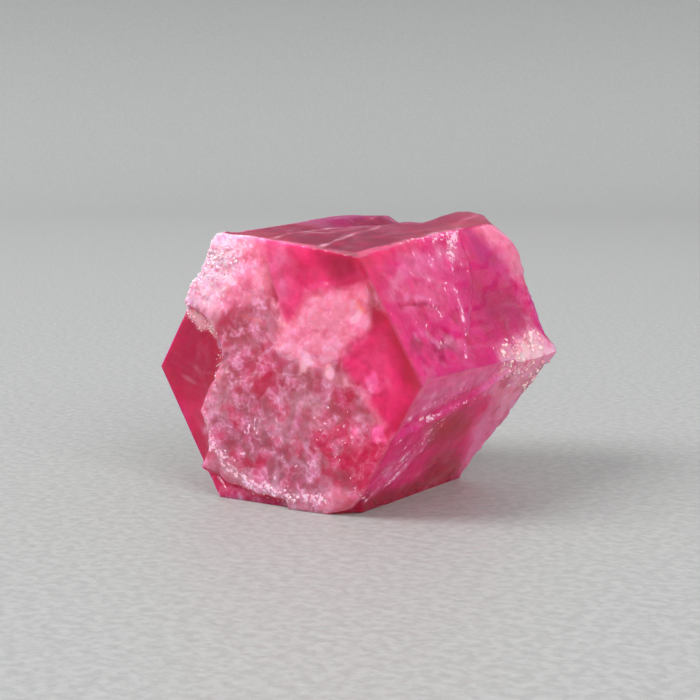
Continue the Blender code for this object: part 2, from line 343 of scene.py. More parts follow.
@dataclass
class CrystalForm:
    """The crystal's whole outer form, in millimetres in the drawn frame."""

    across_flats: float = 7.0
    axis_x: float = 0.035
    near_y: float = -4.03
    far_y: float = 2.62
    far_lean: float = 0.35
    far_skew: float = 0.11
    columns_per_face: int = 60
    near_rows: int = 84
    side_rows: int = 112
    far_rows: int = 74
    corner_centre: Triple = (-2.6, -3.8, 6.1)
    corner_reach: float = 1.5
    corner_grain: float = 0.15
    corner_cells: Pair = (0.5, 0.22)
    pane_raggedness: float = 0.1
    crust_rise: float = 0.13
    crust_roll: float = 0.06
    crust_cells: Pair = (0.55, 0.24)
    crust_grains: Pair = (0.045, 0.03)
    crust_seam: float = 0.012
    terrace_reach: float = 6.0
    terrace_fade: float = 0.5
    terrace_wobble: float = 0.05
    break_ridge: float = 0.16
    break_reach: float = 1.6
    growth_step: float = 0.02
    growth_levels: float = 1.6
    growth_stretch: Triple = (1.0, 0.4, 1.0)
    scar_wobble: float = 0.05
    pock_depth: float = 0.05
    pock_cell: float = 0.42
    pock_centre: Pair = (-2.6, 3.2)
    pock_reach: Pair = (1.3, 0.6)
    corner_cosine: float = 0.5
    end_tilt: float = 0.6
    rim_power: int = 12
    cut_softness: float = 0.004
    bottom_hold: float = 0.0001
    least_lift: float = 0.01
    faces: tuple[PrismFace, ...] = (
        PrismFace(Side.UPPER_RIGHT, 30.0, 3.5),
        PrismFace(Side.TOP, 90.0, 3.5),
        PrismFace(Side.UPPER_LEFT, 150.0, 3.5),
        PrismFace(Side.LOWER_LEFT, 210.0, 3.633),
        PrismFace(Side.BOTTOM, 270.0, 3.5),
        PrismFace(Side.LOWER_RIGHT, 330.0, 3.5),
    )
    cuts: tuple[Cut, ...] = (
        Cut(((-1.2, -4.03, 7.0), (2.05, 0.75, 7.0), (2.25, -4.03, 6.58))),
        Cut(((2.06, 2.75, 7.0), (2.55, 3.5, 6.1), (1.3, 3.85, 7.0))),
        Cut(((-2.6, 3.2, 6.0), (-0.9, 3.75, 7.0), (-2.02, 2.6, 7.0))),
        Cut(((2.02, -3.6, 0.0), (2.4, -4.03, 0.66), (1.35, -4.03, 0.0))),
        Cut(((-2.02, 0.7, 0.0), (-2.6, 1.2, 1.0), (-0.9, 1.3, 0.0))),
    )
    terraces: tuple[Terrace, ...] = (
        Terrace(
            Side.TOP,
            ((-5, -1), (-5, 1.45), (0.25, 0.55), (2.2, 1.2), (4.4, 0.4), (4.6, -1)), 0.02, 0.24, 0.22,
        ),
        Terrace(
            Side.UPPER_RIGHT, ((-2.6, -1), (1.3, -1), (0.9, 1.3), (-0.9, 3.2), (-2.4, 2.6)), 0.05, 0.05,
        ),
        Terrace(
            Side.LOWER_RIGHT,
            ((-5, -1), (0.4, -1), (1.2, 0.2), (-0.5, 0.85), (-2.2, 1.35), (-5, 1.75)), -0.14, -0.1,
        ),
        Terrace(Side.UPPER_LEFT, ((-2, 0.8), (2.2, -1), (5, -1), (5, 2.3), (0.4, 3.3)), 0.1, 0.1),
        Terrace(Side.UPPER_LEFT, ((0.6, -1), (5, -1), (5, 1.2), (1.7, 1.9)), 0.09, 0.09),
        Terrace(Side.LOWER_LEFT, ((-5, 1.6), (-1.2, 1.1), (1.4, 2.4), (0.6, 5), (-5, 5)), -0.08, -0.08),
    )
    scars: tuple[Scar, ...] = (
        Scar(
            Side.UPPER_RIGHT,
            ((0.88, 0.05), (0.48, 0.51), (-0.1, 0.94), (-0.3, 1.4), (-0.6, 2.4), (-1.4, 3.7)), 0.05,
        ),
        Scar(Side.UPPER_RIGHT, ((-1.2, 0.05), (0.1, 0.25), (0.9, 0.1)), 0.06, 0.14),
        Scar(Side.UPPER_RIGHT, BRANCH, 0.03, 0.05),
        Scar(Side.UPPER_RIGHT, ((-3.65, 2.07), (-2.84, 2.0), (-2.13, 2.09), (-1.6, 2.3)), -0.04, 0.06),
        Scar(Side.LOWER_RIGHT, ((-2.1, 1.75), (-2.5, 2.3), (-3.1, 2.9), (-3.7, 3.5)), 0.05, 0.06),
        Scar(Side.LOWER_RIGHT, ((-1.85, 1.95), (-2.2, 2.6), (-2.9, 3.3)), 0.04, 0.05),
        Scar(Side.LOWER_RIGHT, ((-2.9, 0.95), (-1.6, 0.8), (-0.6, 0.6)), 0.04, 0.06),
        Scar(Side.UPPER_LEFT, LEFT_CRACK, 0.05),
        Scar(Side.LOWER_LEFT, LOW_CRACK, -0.05),
    )
    lumps: tuple[Lump, ...] = (
        Lump((1.15, 3.3, 7.1), 0.85, (0.0, 0.05, 0.42)),
        Lump((3.95, 2.75, 3.6), 0.42, (0.02, 0.5, 0.1)),
        Lump((3.75, 2.3, 2.9), 0.45, (-0.05, 0.3, -0.1)),
        Lump((3.1, 1.85, 1.8), 0.5, (-0.05, 0.22, -0.1)),
        Lump((-0.6, 2.6, 3.4), 1.2, (0.0, 0.3, 0.0)),
        Lump((1.3, 3.3, 5.1), 0.9, (0.0, -0.35, 0.05)),
        Lump((-2.4, 2.3, 2.6), 0.7, (0.0, -0.3, 0.0)),
        Lump((0.3, 1.6, 1.1), 0.7, (0.0, 0.2, 0.0)),
        Lump((2.2, 3.3, 6.3), 0.7, (0.3, 0.18, 0.1)),
    )
    panes: tuple[Pane, ...] = (
        Pane(
            (
                (-4.6, 3.5), (-3.3, 5.1), (-2.25, 4.65), (-2.0, 4.1), (-2.15, 3.2), (-2.7, 2.3),
                (-2.42, 1.9), (-2.4, 1.4), (-2.65, 0.85), (-3.6, 1.0),
            ),
            0.15,
        ),
        Pane(((-2.8, 0.8), (-1.5, 0.42), (-1.15, 0.28), (0.1, 0.16), (0.4, -0.4), (-2.4, -0.4)), 0.15),
        Pane(
            ((-0.75, 7.3), (2.3, 7.2), (2.9, 6.2), (2.1, 5.95), (0.6, 5.7), (0.15, 4.85), (-0.35, 5.4)),
            0.3, 0.3,
        ),
        Pane(
            ((2.8, 5.2), (3.5, 5.1), (4.6, 3.5), (3.7, 2.2), (3.3, 2.4), (2.95, 3.1), (2.65, 4.3)), 0.5,
            0.3,
        ),
    )

    @property
    def middle(self) -> Array:
        """The c-axis where it crosses the plane y = 0."""
        return np.array((self.axis_x, 0.0, self.across_flats / 2))

    @property
    def break_normal(self) -> Array:
        """The outward normal of the far break's plane."""
        normal = np.array((-self.far_skew, 1.0, -self.far_lean))
        return normal / np.linalg.norm(normal)

    def corners(self) -> Array:
        """The section's corners as (x, z): corner k is where face k meets face k + 1.

        Returns:
            The corners, shape (6, 2).
        """
        found = []
        for face, after in zip(self.faces, self.faces[1:] + self.faces[:1]):
            sides = np.array([face.normal[[0, 2]], after.normal[[0, 2]]])
            found.append(np.linalg.solve(sides, np.array((face.offset, after.offset))))
        return np.array(found) + self.middle[[0, 2]]

    def face_start(self, index: int) -> Array:
        """The corner of a prism face from which distances across it are measured.

        Args:
            index: the face's number.

        Returns:
            The corner as (x, z).
        """
        corners = self.corners()
        ends = np.array([corners[index - 1], corners[index]])
        across = self.faces[index].across[[0, 2]]
        return ends[np.argmin(ends @ across)]

    def face_number(self, side: Side) -> int:
        """Which of the faces a side is."""
        return [face.side for face in self.faces].index(side)

    def on_face(self, side: Side, points: Array) -> tuple[Array, Array]:
        """(y, distance across) of points near a prism face.

        Args:
            side: the face.
            points: shape (..., 3), in millimetres.

        Returns:
            The first and second coordinates on that face.
        """
        index = self.face_number(side)
        across = self.faces[index].across[[0, 2]]
        return points[..., 1], (points[..., [0, 2]] - self.face_start(index)) @ across

    def break_y(self, x: Array, z: Array) -> Array:
        """How far along +Y the plane of the far break lies over a point of the section."""
        return self.far_y + self.far_lean * (z - self.middle[2]) + self.far_skew * x

    def flat_surface(self) -> Surface:
        """The prism with its two ends and its cuts, as a grid.

        One parameter runs round the hexagon, straight from corner to corner. The other runs from the
        middle of the near end out to its rim, along the sides, and over the far break to its middle.

        Returns:
            The surface without relief.
        """
        corners = self.corners()
        share = np.arange(self.columns_per_face) / self.columns_per_face
        legs = [corners[k - 1] + share[:, None] * (corners[k] - corners[k - 1]) for k in range(6)]
        ring = np.concatenate(legs)
        face_index = np.repeat(np.arange(6), self.columns_per_face)
        near = np.linspace(0.0, 1.0, self.near_rows + 1)[1:]
        along = np.linspace(0.0, 1.0, self.side_rows + 1)[1:]
        far = np.linspace(1.0, 0.0, self.far_rows + 1)[1:-1]
        scale = np.concatenate([near, np.ones(self.side_rows), far])
        region = np.repeat([part.value for part in Region], (near.size, self.side_rows, far.size))
        section = self.middle[[0, 2]] + scale[:, None, None] * (ring - self.middle[[0, 2]])
        far_y = self.break_y(section[..., 0], section[..., 1])
        y = np.where(region[:, None] == Region.NEAR_END.value, self.near_y, far_y)
        sides = region == Region.SIDES.value
        y[sides] = self.near_y + along[:, None] * (far_y[sides] - self.near_y)
        flat = self.apply_cuts(np.stack([section[..., 0], y, section[..., 1]], axis=-1))
        return Surface(flat, flat.copy(), region, scale, face_index)

    def apply_cuts(self, points: Array) -> Array:
        """Draws every point beyond a cut back to its plane, along the line to the crystal's middle.

        Args:
            points: shape (..., 3), in millimetres.

        Returns:
            The points after all the cuts.
        """
        centre = self.middle
        for cut in self.cuts:
            first, second, third = (np.array(corner) for corner in cut.points)
            normal = np.cross(second - first, third - first)
            normal /= np.linalg.norm(normal)
            if normal @ (centre - first) > 0:
                normal = -normal
            reach = (points - centre) @ normal
            share = (first - centre) @ normal / np.maximum(reach, 1e-6)
            share = np.where(reach > 1e-6, share, FAR_OFF)
            soft = self.cut_softness
            kept = 0.5 * (share + 1.0 - np.sqrt((share - 1.0) ** 2 + soft**2))
            points = centre + np.minimum(kept, 1.0)[..., None] * (points - centre)
        return points

    def crust_cover(self, points: Array, sinking: bool = False) -> Array:
        """How much crust there is: 0 on a pane, rising over each pane's own slope to 1 away from all.

        Args:
            points: points of the near end.
            sinking: count a pane only as far as it is sunk, which gives the crust's height.

        Returns:
            The share of crust.
        """
        flat = points * np.array((1.0, 0.0, 1.0))
        ragged = self.pane_raggedness * layered_noise(flat, 0.55, 3, seed=5)
        cover = np.ones(points.shape[:-1])
        for pane in self.panes:
            level = outline_distance(pane.outline, points[..., 0], points[..., 2]) + ragged
            bare = 1.0 - smooth(-0.3 * pane.slope, 0.7 * pane.slope, level)
            cover = np.minimum(cover, 1.0 - bare * (pane.sunk if sinking else 1.0))
        return cover

    def crust_height(self, points: Array) -> Array:
        """The crust over the panes: a rolling plateau with a steep rim, packed grains on it.

        Args:
            points: shape (..., 3), in millimetres.

        Returns:
            The height at each point.
        """
        coarse, coarse_gap = grain_noise(points, self.crust_cells[0], seed=21)
        fine, fine_gap = grain_noise(points, self.crust_cells[1], seed=22)
        packed = self.crust_grains[0] * (0.5 - coarse) + self.crust_grains[1] * (0.5 - fine)
        seams = self.crust_seam * (smooth(0.0, 0.12, coarse_gap) + 0.5 * smooth(0.0, 0.12, fine_gap))
        roll = self.crust_roll * soft_noise(points, 1.4, seed=23)
        plateau = self.crust_cover(points, sinking=True) * (self.crust_rise + roll)
        return plateau + self.crust_cover(points) * (packed + seams)

    def corner_height(self, points: Array) -> Array:
        """The sugary corner's rounded grains in two sizes, fading out with distance from it.

        Args:
            points: shape (..., 3), in millimetres.

        Returns:
            The height at each point.
        """
        reach = np.linalg.norm(points - np.array(self.corner_centre), axis=-1)
        fade = 1.0 - smooth(0.55 * self.corner_reach, self.corner_reach, reach)
        coarse, _ = grain_noise(points, self.corner_cells[0], seed=31)
        fine, _ = grain_noise(points, self.corner_cells[1], seed=32)
        return fade * self.corner_grain * (0.75 - coarse + 0.45 * (0.5 - fine))

    def break_height(self, points: Array) -> Array:
        """The far break: shell-like ridges, where soft noise changes sign, with lumps and steps on them.

        Args:
            points: shape (..., 3), in millimetres.

        Returns:
            The height at each point.
        """
        ridges = 1.0 - 2.0 * np.abs(soft_noise(points, 1.5, seed=41))
        _, gap = grain_noise(points, 0.8, seed=42)
        fine = layered_noise(points, 0.5, 3, seed=43)
        return self.break_ridge * (0.9 * ridges + 0.55 * fine + 0.6 * smooth(0.0, 0.15, gap) - 0.4)

    def terrace_height(self, terrace: Terrace, points: Array) -> Array:
        """A terrace's height inside its outline, changing evenly along +Y, with a narrow slope as rim.

        Args:
            terrace: the terrace.
            points: shape (..., 3), in millimetres.

        Returns:
            The height at each point.
        """
        y, distance = self.on_face(terrace.side, points)
        wobble = self.terrace_wobble * soft_noise(points, 0.5, seed=51)
        level = -outline_distance(terrace.outline, y, distance) + wobble
        inside = smooth(-terrace.edge, terrace.edge, level)
        share = smooth(self.near_y, self.near_y + self.terrace_reach, y)
        height = terrace.near_height + share * (terrace.far_height - terrace.near_height)
        return inside * smooth(self.near_y, self.near_y + self.terrace_fade, y) * height

    def growth_height(self, points: Array) -> Array:
        """Low growth steps on the prism faces: stretched soft noise cut into levels with narrow slopes.

        Args:
            points: shape (..., 3), in millimetres.

        Returns:
            The height at each point.
        """
        stretched = points * np.array(self.growth_stretch)
        rolling = self.growth_levels * layered_noise(stretched, 1.5, 3, seed=61)
        level = np.floor(rolling) + smooth(0.42, 0.58, rolling - np.floor(rolling))
        return self.growth_step * level

    def scar_height(self, scar: Scar, points: Array) -> Array:
        """A line of damage on a prism face: a groove or ridge along a path, broken up by noise.

        Args:
            scar: the line and its size.
            points: shape (..., 3), in millimetres.

        Returns:
            The height at each point.
        """
        y, across = self.on_face(scar.side, points)
        wobble = self.scar_wobble * layered_noise(points, 0.3, 2, seed=64)
        distance = path_distance(scar.path, y, across) + wobble
        broken = smooth(-0.5, 0.3, soft_noise(points, 0.4, seed=65))
        return scar.height * broken * np.exp(-((distance / scar.width) ** 2))

    def pock_height(self, points: Array) -> Array:
        """Round dents in the lower part of the upper right face, where bubbles show under the surface.

        Args:
            points: shape (..., 3), in millimetres.

        Returns:
            The height at each point, never above 0.
        """
        y, across = self.on_face(Side.UPPER_RIGHT, points)
        off_y = (y - self.pock_centre[0]) / self.pock_reach[0]
        off_across = (across - self.pock_centre[1]) / self.pock_reach[1]
        zone = 1.0 - smooth(0.7, 1.3, np.hypot(off_y, off_across))
        nearest, _ = grain_noise(points, self.pock_cell, seed=66)
        return -self.pock_depth * zone * (1.0 - smooth(0.1, 0.45, nearest))

    def side_moves(self, shape: Surface) -> Array:
        """How the prism faces' own relief moves each column, so that neighbouring faces still meet.

        Each face moves along its normal by its height. A corner moves to where its two raised faces
        meet, and what that shifts it along a face fades evenly over that face's width.

        Args:
            shape: the flat surface.

        Returns:
            One move for each point.
        """
        each = self.columns_per_face
        heights = np.zeros((6,) + shape.flat.shape[:1] + (each + 1,))
        columns = [np.arange(k * each, (k + 1) * each + 1) % (6 * each) for k in range(6)]
        for terrace in self.terraces:
            k = self.face_number(terrace.side)
            heights[k] += self.terrace_height(terrace, shape.flat[:, columns[k]])
        for scar in self.scars:
            k = self.face_number(scar.side)
            heights[k] += self.scar_height(scar, shape.flat[:, columns[k]])
        pocked = self.face_number(Side.UPPER_RIGHT)
        heights[pocked] += self.pock_height(shape.flat[:, columns[pocked]])
        growing = smooth(self.near_y, self.near_y + self.terrace_fade, shape.flat[..., 1])
        growth = self.growth_height(shape.flat) * growing
        for k in range(6):
            heights[k] += growth[:, columns[k]]
        moves = np.zeros_like(shape.flat)
        normals = np.array([face.normal for face in self.faces])
        overlap = self.corner_cosine
        meets = []
        for k in range(6):
            before, own = heights[k - 1][:, -1], heights[k][:, 0]
            pull_before = (before - overlap * own) / (1.0 - overlap**2)
            pull_own = (own - overlap * before) / (1.0 - overlap**2)
            meets.append(pull_before[:, None] * normals[k - 1] + pull_own[:, None] * normals[k])
        share = (np.arange(each) / each)[None, :, None]
        for k in range(6):
            start, end = meets[k], meets[(k + 1) % 6]
            slide_start = start - (start @ normals[k])[:, None] * normals[k]
            slide_end = end - (end @ normals[k])[:, None] * normals[k]
            slide = (1.0 - share) * slide_start[:, None] + share * slide_end[:, None]
            moves[:, columns[k][:-1]] = heights[k][:, :-1, None] * normals[k] + slide
        return moves

    def surface(self) -> Surface:
        """The finished outer surface, with its relief.

        Returns:
            The surface, with both its flat and its moved points.
        """
        shape = self.flat_surface()
        flat = shape.flat
        near = (shape.region == Region.NEAR_END.value)[:, None]
        sides = (shape.region == Region.SIDES.value)[:, None]
        rim = np.where(sides, 1.0, shape.scale[:, None] ** self.rim_power)
        columns = np.arange(shape.face_index.size)
        normals = np.array([face.normal for face in self.faces])
        side_normals = normals[shape.face_index]
        corner = columns % self.columns_per_face == 0
        side_normals[corner] = (side_normals + normals[shape.face_index - 1])[corner]
        side_normals[corner] /= 1.0 + self.corner_cosine
        end = np.array((0.0, -1.0, 0.0))
        outwards = np.where(
            near[..., None], end + self.end_tilt * rim[..., None] * side_normals, side_normals,
        )
        outwards = np.where(sides[..., None] | near[..., None], outwards, self.break_normal)
        move = self.side_moves(shape) * rim[..., None]
        move += np.where(near, np.maximum(self.crust_height(flat), 0.0), 0.0)[..., None] * end
        move += self.corner_height(flat)[..., None] * outwards
        last = self.near_rows + self.side_rows - 1
        break_height = self.break_height(flat)
        near_break = smooth(flat[last, :, 1] - self.break_reach, flat[last, :, 1], flat[..., 1])
        break_height = np.where(sides, near_break * break_height[last], break_height)
        move += np.where(near, 0.0, break_height)[..., None] * self.break_normal
        for lump in self.lumps:
            reach = np.linalg.norm(flat - np.array(lump.centre), axis=-1) / lump.radius
            move += np.exp(-(reach**2))[..., None] * np.array(lump.push)
        points = flat + move
        bottom = flat[..., 2] < self.bottom_hold
        points[..., 2] = np.where(bottom, 0.0, np.maximum(points[..., 2], self.least_lift))
        shape.points = points
        return shape


# ---------------------------------------------------------------- meshes


def put_mesh(name: str, points: Array, faces: Array, sizes: Array) -> bpy.types.Object:
    """A mesh object from arrays.

    Args:
        name: the piece's name.
        points: shape (n, 3), in metres in the model's frame.
        faces: the corners of all the faces, one after the other.
        sizes: how many corners each face has.

    Returns:
        The object, linked to the scene.
    """
    mesh = bpy.data.meshes.new(name)
    mesh.vertices.add(len(points))
    mesh.vertices.foreach_set("co", points.astype(np.float32).ravel())
    mesh.loops.add(len(faces))
    mesh.loops.foreach_set("vertex_index", faces.astype(np.int32))
    mesh.polygons.add(len(sizes))
    starts = np.concatenate([[0], np.cumsum(sizes)[:-1]])
    mesh.polygons.foreach_set("loop_start", starts.astype(np.int32))
    mesh.update(calc_edges=True)
    mesh.validate()
    piece = bpy.data.objects.new(name, mesh)
    bpy.context.scene.collection.objects.link(piece)
    return piece


def join_model(piece: bpy.types.Object, finish: bpy.types.Material) -> bpy.types.Object:
    """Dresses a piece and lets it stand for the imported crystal.

    Args:
        piece: the piece.
        finish: its material.

    Returns:
        The piece.
    """
    piece.data.materials.append(finish)
    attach(piece, "root")
    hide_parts("crystal")
    return piece


def closed_grid(rows: int, columns: int, poles: int) -> tuple[Array, Array]:
    """Faces of a grid that is closed round its columns and by a pole at its first or at either end.

    Point r * columns + c is row r, column c. The first pole comes after the grid, then the last pole.

    Args:
        rows: how many rows of points.
        columns: how many columns of points.
        poles: 1 or 2.

    Returns:
        The faces' corners and the faces' sizes.
    """
    index = np.arange(rows * columns).reshape(rows, columns)
    after = np.roll(index, -1, axis=1)
    quads = np.stack([index[:-1], index[1:], after[1:], after[:-1]], axis=-1).reshape(-1, 4)
    pole = np.full(columns, rows * columns)
    fans = [np.stack([pole, index[0], after[0]], axis=-1)]
    if poles == 2:
        fans.append(np.stack([pole + 1, after[-1], index[-1]], axis=-1))
    faces = np.concatenate([quads.ravel()] + [fan.ravel() for fan in fans])
    return faces, np.repeat((4, 3), (len(quads), poles * columns))


# ---------------------------------------------------------------- shader maths


def operator(operation: str, flipped: bool = False) -> Callable[["Value", Any], "Value"]:
    """A method of Value that adds one Math node.

    Args:
        operation: the node's operation.
        flipped: the value itself is the second number.

    Returns:
        The method.
    """

    def method(self: "Value", other: Any) -> "Value":
        """The Math node's result.

        Args:
            other: the second number of the sum, product and so on.

        Returns:
            The result as a Value.
        """
        first, second = (other, self) if flipped else (self, other)
        node = self.tree.node("ShaderNodeMath", {"operation": operation}, {0: first, 1: second})
        return Value(self.tree, node.outputs[0])

    return method


@dataclass(frozen=True)
class Value:
    """A number in a shader: an output socket. Python's operators on it add Math nodes."""

    tree: "Tree"
    socket: bpy.types.NodeSocket

    __add__ = __radd__ = operator("ADD")
    __mul__ = __rmul__ = operator("MULTIPLY")
    __sub__ = operator("SUBTRACT")
    __rsub__ = operator("SUBTRACT", flipped=True)
    larger = operator("MAXIMUM")
    smaller = operator("MINIMUM")
    _absolute = operator("ABSOLUTE")

    def size(self) -> "Value":
        """The value without its sign."""
        return self._absolute(0.0)

    def ramped(self, low: float, high: float) -> "Value":
        """0 below low, 1 above high, an S-curve between.

        Args:
            low: where the curve starts.
            high: where the curve ends.

        Returns:
            The shaped value.
        """
        settings = {"interpolation_type": "SMOOTHSTEP", "clamp": True}
        inputs = {"Value": self, "From Min": low, "From Max": high}
        node = self.tree.node("ShaderNodeMapRange", settings, inputs)
        return Value(self.tree, node.outputs["Result"])


class Tree:
    """A material's node tree, with one method that adds any node."""

    def __init__(self, name: str) -> None:
        """Starts a material of this name with an output and nothing else.

        Args:
            name: the material's name.
        """
        self.material = bpy.data.materials.new(name)
        self.material.use_nodes = True
        self.nodes = self.material.node_tree.nodes
        self.links = self.material.node_tree.links
        self.nodes.clear()
        self.output = self.nodes.new("ShaderNodeOutputMaterial")

    def node(self, kind: str, settings: dict[str, Any], inputs: dict[Any, Any]) -> bpy.types.Node:
        """Adds a node.

        Args:
            kind: the node's type.
            settings: the node's own settings, which are set first.
            inputs: a number, a tuple, a Value or a socket for each named or numbered input.

        Returns:
            The node.
        """
        made = self.nodes.new(kind)
        for key, value in settings.items():
            setattr(made, key, value)
        for key, value in inputs.items():
            source = value.socket if isinstance(value, Value) else value
            if isinstance(source, bpy.types.NodeSocket):
                self.links.new(source, made.inputs[key])
            else:
                made.inputs[key].default_value = source
        return made

    def shader(self, kind: str, inputs: dict[Any, Any]) -> bpy.types.NodeSocket:
        """Adds a shader node and gives its output; kind is the end of the node's type."""
        return self.node(f"ShaderNode{kind}", {}, inputs).outputs[0]

    def finished(self, surface: bpy.types.NodeSocket) -> bpy.types.Material:
        """The material, with a shader as its surface."""
        self.links.new(surface, self.output.inputs["Surface"])
        return self.material

    def place(self) -> bpy.types.NodeSocket:
        """Object coordinates, in metres in the model's frame."""
        return self.node("ShaderNodeTexCoord", {}, {}).outputs["Object"]

    def texture(self, kind: str, place: bpy.types.NodeSocket, size: float, **inputs: float) -> bpy.types.Node:
        """A noise or Voronoi node with lumps of a size given in millimetres.

        Args:
            kind: "Noise" or "Voronoi".
            place: where it is read.
            size: the size of a lump or cell.
            **inputs: its other inputs.

        Returns:
            The node.
        """
        return self.node(f"ShaderNodeTex{kind}", {}, {"Vector": place, "Scale": 1.0 / (size * MM), **inputs})

    def noise(self, place: bpy.types.NodeSocket, size: float, detail: float, warp: float = 0.0) -> Value:
        """Noise from 0 to 1, with a number of finer layers, distorted by warp."""
        node = self.texture("Noise", place, size, Detail=detail, Distortion=warp)
        return Value(self, node.outputs[0])

    def veins(self, place: bpy.types.NodeSocket, size: float, width: float) -> Value:
        """Thin lines, 1 along the middle, where finely layered noise crosses its middle value."""
        return 1.0 - (self.noise(place, size, 4.0) - 0.5).size().ramped(0.0, width)

    def flakes(self, place: bpy.types.NodeSocket, size: float) -> Value:
        """A random number around 0.5 for each cell of a size given in millimetres."""
        return Value(self, self.texture("Voronoi", place, size).outputs["Color"])

    def warped(self, place: bpy.types.NodeSocket, size: float, reach: float) -> bpy.types.NodeSocket:
        """Coordinates that noise, with lumps of one size, has moved about by up to half a reach.

        Args:
            place: the coordinates.
            size: the size of the lumps, in millimetres.
            reach: twice the furthest move, in millimetres.

        Returns:
            The moved coordinates.
        """
        centred = self.vector(
            "SUBTRACT", self.texture("Noise", place, size).outputs["Color"], (0.5, 0.5, 0.5),
        )
        return self.vector("ADD", place, self.vector("MULTIPLY", centred, (reach * MM,) * 3))

    def vector(self, operation: str, first: Any, second: Any) -> bpy.types.NodeSocket:
        """One Vector Math node on two vectors."""
        return self.node("ShaderNodeVectorMath", {"operation": operation}, {0: first, 1: second}).outputs[0]

    def attribute(self, name: str) -> Value:
        """A number that the mesh holds at each point."""
        return Value(self, self.node("ShaderNodeAttribute", {"attribute_name": name}, {}).outputs["Fac"])

    def mix(self, factor: Any, first: Any, second: Any) -> bpy.types.NodeSocket:
        """Two colours mixed; the factor is the share of the second."""
        return self.node("ShaderNodeMix", {"data_type": "RGBA"}, {0: factor, 6: first, 7: second}).outputs[2]

    def bump(self, height: Value, depth: float, strength: float) -> bpy.types.NodeSocket:
        """A bumped normal from a height from 0 to 1 and a depth in millimetres."""
        inputs = {"Height": height, "Distance": depth * MM, "Strength": strength}
        return self.node("ShaderNodeBump", {}, inputs).outputs["Normal"]


# ---------------------------------------------------------------- tones and marks on the surface


def linear(colour: Triple) -> tuple[float, float, float, float]:
    """A display colour, from 0 to 1, as the linear colour that shaders use, with an alpha of 1."""
    shares = [c / 12.92 if c <= 0.04045 else ((c + 0.055) / 1.055) ** 2.4 for c in colour]
    return (shares[0], shares[1], shares[2], 1.0)


@dataclass(frozen=True)
class Tone:
    """The look of a patch of surface: its display colour, how cloudy it is and how rough."""

    colour: Triple
    cloud: float
    rough: float


class Tones:
    """The looks that patches of this crystal have."""

    CRIMSON = Tone((0.76, 0.00, 0.34), 0.42, 0.05)
    DEEP_CRIMSON = Tone((0.70, 0.00, 0.32), 0.55, 0.06)
    RED_ROSE = Tone((0.96, 0.15, 0.50), 0.60, 0.10)
    PALE_ROSE = Tone((1.00, 0.42, 0.66), 0.68, 0.12)
    ROSE = Tone((0.95, 0.11, 0.57), 0.64, 0.16)
    SOFT_PINK = Tone((1.0, 0.60, 0.72), 0.82, 0.22)
    HOT_PINK = Tone((1.0, 0.40, 0.66), 0.85, 0.12)
    MAGENTA = Tone((0.92, 0.00, 0.56), 0.60, 0.09)
    DARK_MAGENTA = Tone((0.46, 0.00, 0.28), 0.62, 0.12)
    VIOLET = Tone((0.62, 0.04, 0.54), 0.58, 0.22)
    MAUVE = Tone((0.40, 0.00, 0.24), 0.60, 0.55)
    LILAC = Tone((0.98, 0.54, 0.78), 0.74, 0.20)
    CRUST = Tone((0.67, 0.33, 0.41), 0.84, 0.34)
    RED_PATCH = Tone((0.80, 0.06, 0.34), 0.74, 0.20)
    BROWN_RED = Tone((0.58, 0.03, 0.26), 0.62, 0.14)
    VEIL = Tone((1.0, 0.74, 0.82), 0.90, 0.36)
    SUGAR = Tone((1.0, 0.74, 0.82), 0.92, 0.28)
    PEACH = Tone((0.98, 0.50, 0.42), 0.85, 0.35)
    GREY_CRUST = Tone((0.62, 0.34, 0.42), 0.86, 0.34)
    SUGAR_ROSE = Tone((1.0, 0.48, 0.64), 0.86, 0.26)
    PANE_CRIMSON = Tone((0.62, 0.00, 0.30), 0.58, 0.05)
    CREAM_WHITE = Tone((0.98, 0.80, 0.82), 1.00, 0.60)
    FROST = Tone((0.82, 0.63, 0.70), 0.90, 0.30)
    CREAM = Tone((0.93, 0.63, 0.72), 1.00, 0.55)
    # Painted shade: the dark of small crevices, laid as spots.
    CREVICE_SHADE = Tone((0.45, 0.02, 0.16), 0.85, 0.40)


@dataclass(frozen=True)
class Mark:
    """A patch, streak or spot on one side, laid over what is there.

    An outline that is filled is a patch, a path is a streak, and a single point is a round spot.
    """

    side: Side
    points: tuple[Pair, ...]
    tone: Tone
    width: float = 0.0
    soft: float = 0.1
    filled: bool = False
    strength: float = 1.0
    wander: float = 0.06
    broken: float = 0.0

    def cover(self, a: Array, b: Array, flat: Array) -> Array:
        """How much of the mark there is at each point, from 0 to its strength.

        Args:
            a: first coordinates on the side.
            b: second coordinates on the side.
            flat: the points themselves, for the noise that makes its rim wander.

        Returns:
            The share of the mark's tone.
        """
        measure = outline_distance if self.filled else path_distance
        distance = measure(self.points, a, b) + self.wander * layered_noise(flat, 0.35, 2, seed=71)
        gaps = 1.0 - self.broken * smooth(-0.35, 0.25, layered_noise(flat, 0.28, 3, seed=83))
        inside = 1.0 - smooth(self.width - self.soft, self.width + self.soft, distance)
        return self.strength * gaps * inside


# The tone of the marks where fractures whiten and the shader paints glints on them.
SHARD_AND_GLINT = Tone((1.0, 1.0, 1.0), 1.0, 0.1)


def patch(side: Side, tone: Tone, *points: Pair, soft: float = 0.12, strength: float = 1.0) -> Mark:
    """A filled outline."""
    return Mark(side, points, tone, soft=soft, filled=True, strength=strength, wander=0.1)


def streak(side: Side, tone: Tone, width: float, *points: Pair, strength: float = 1.0) -> Mark:
    """A line along a path, fading out at its rims and broken by gaps."""
    return Mark(side, points, tone, width=0.6 * width, soft=width, strength=strength, broken=0.6)


def spots(side: Side, tone: Tone, radius: float, *points: Pair, strength: float = 1.0) -> list[Mark]:
    """Round spots of one size."""
    return [Mark(side, (at,), tone, radius, 0.6 * radius, strength=strength, wander=0.25) for at in points]


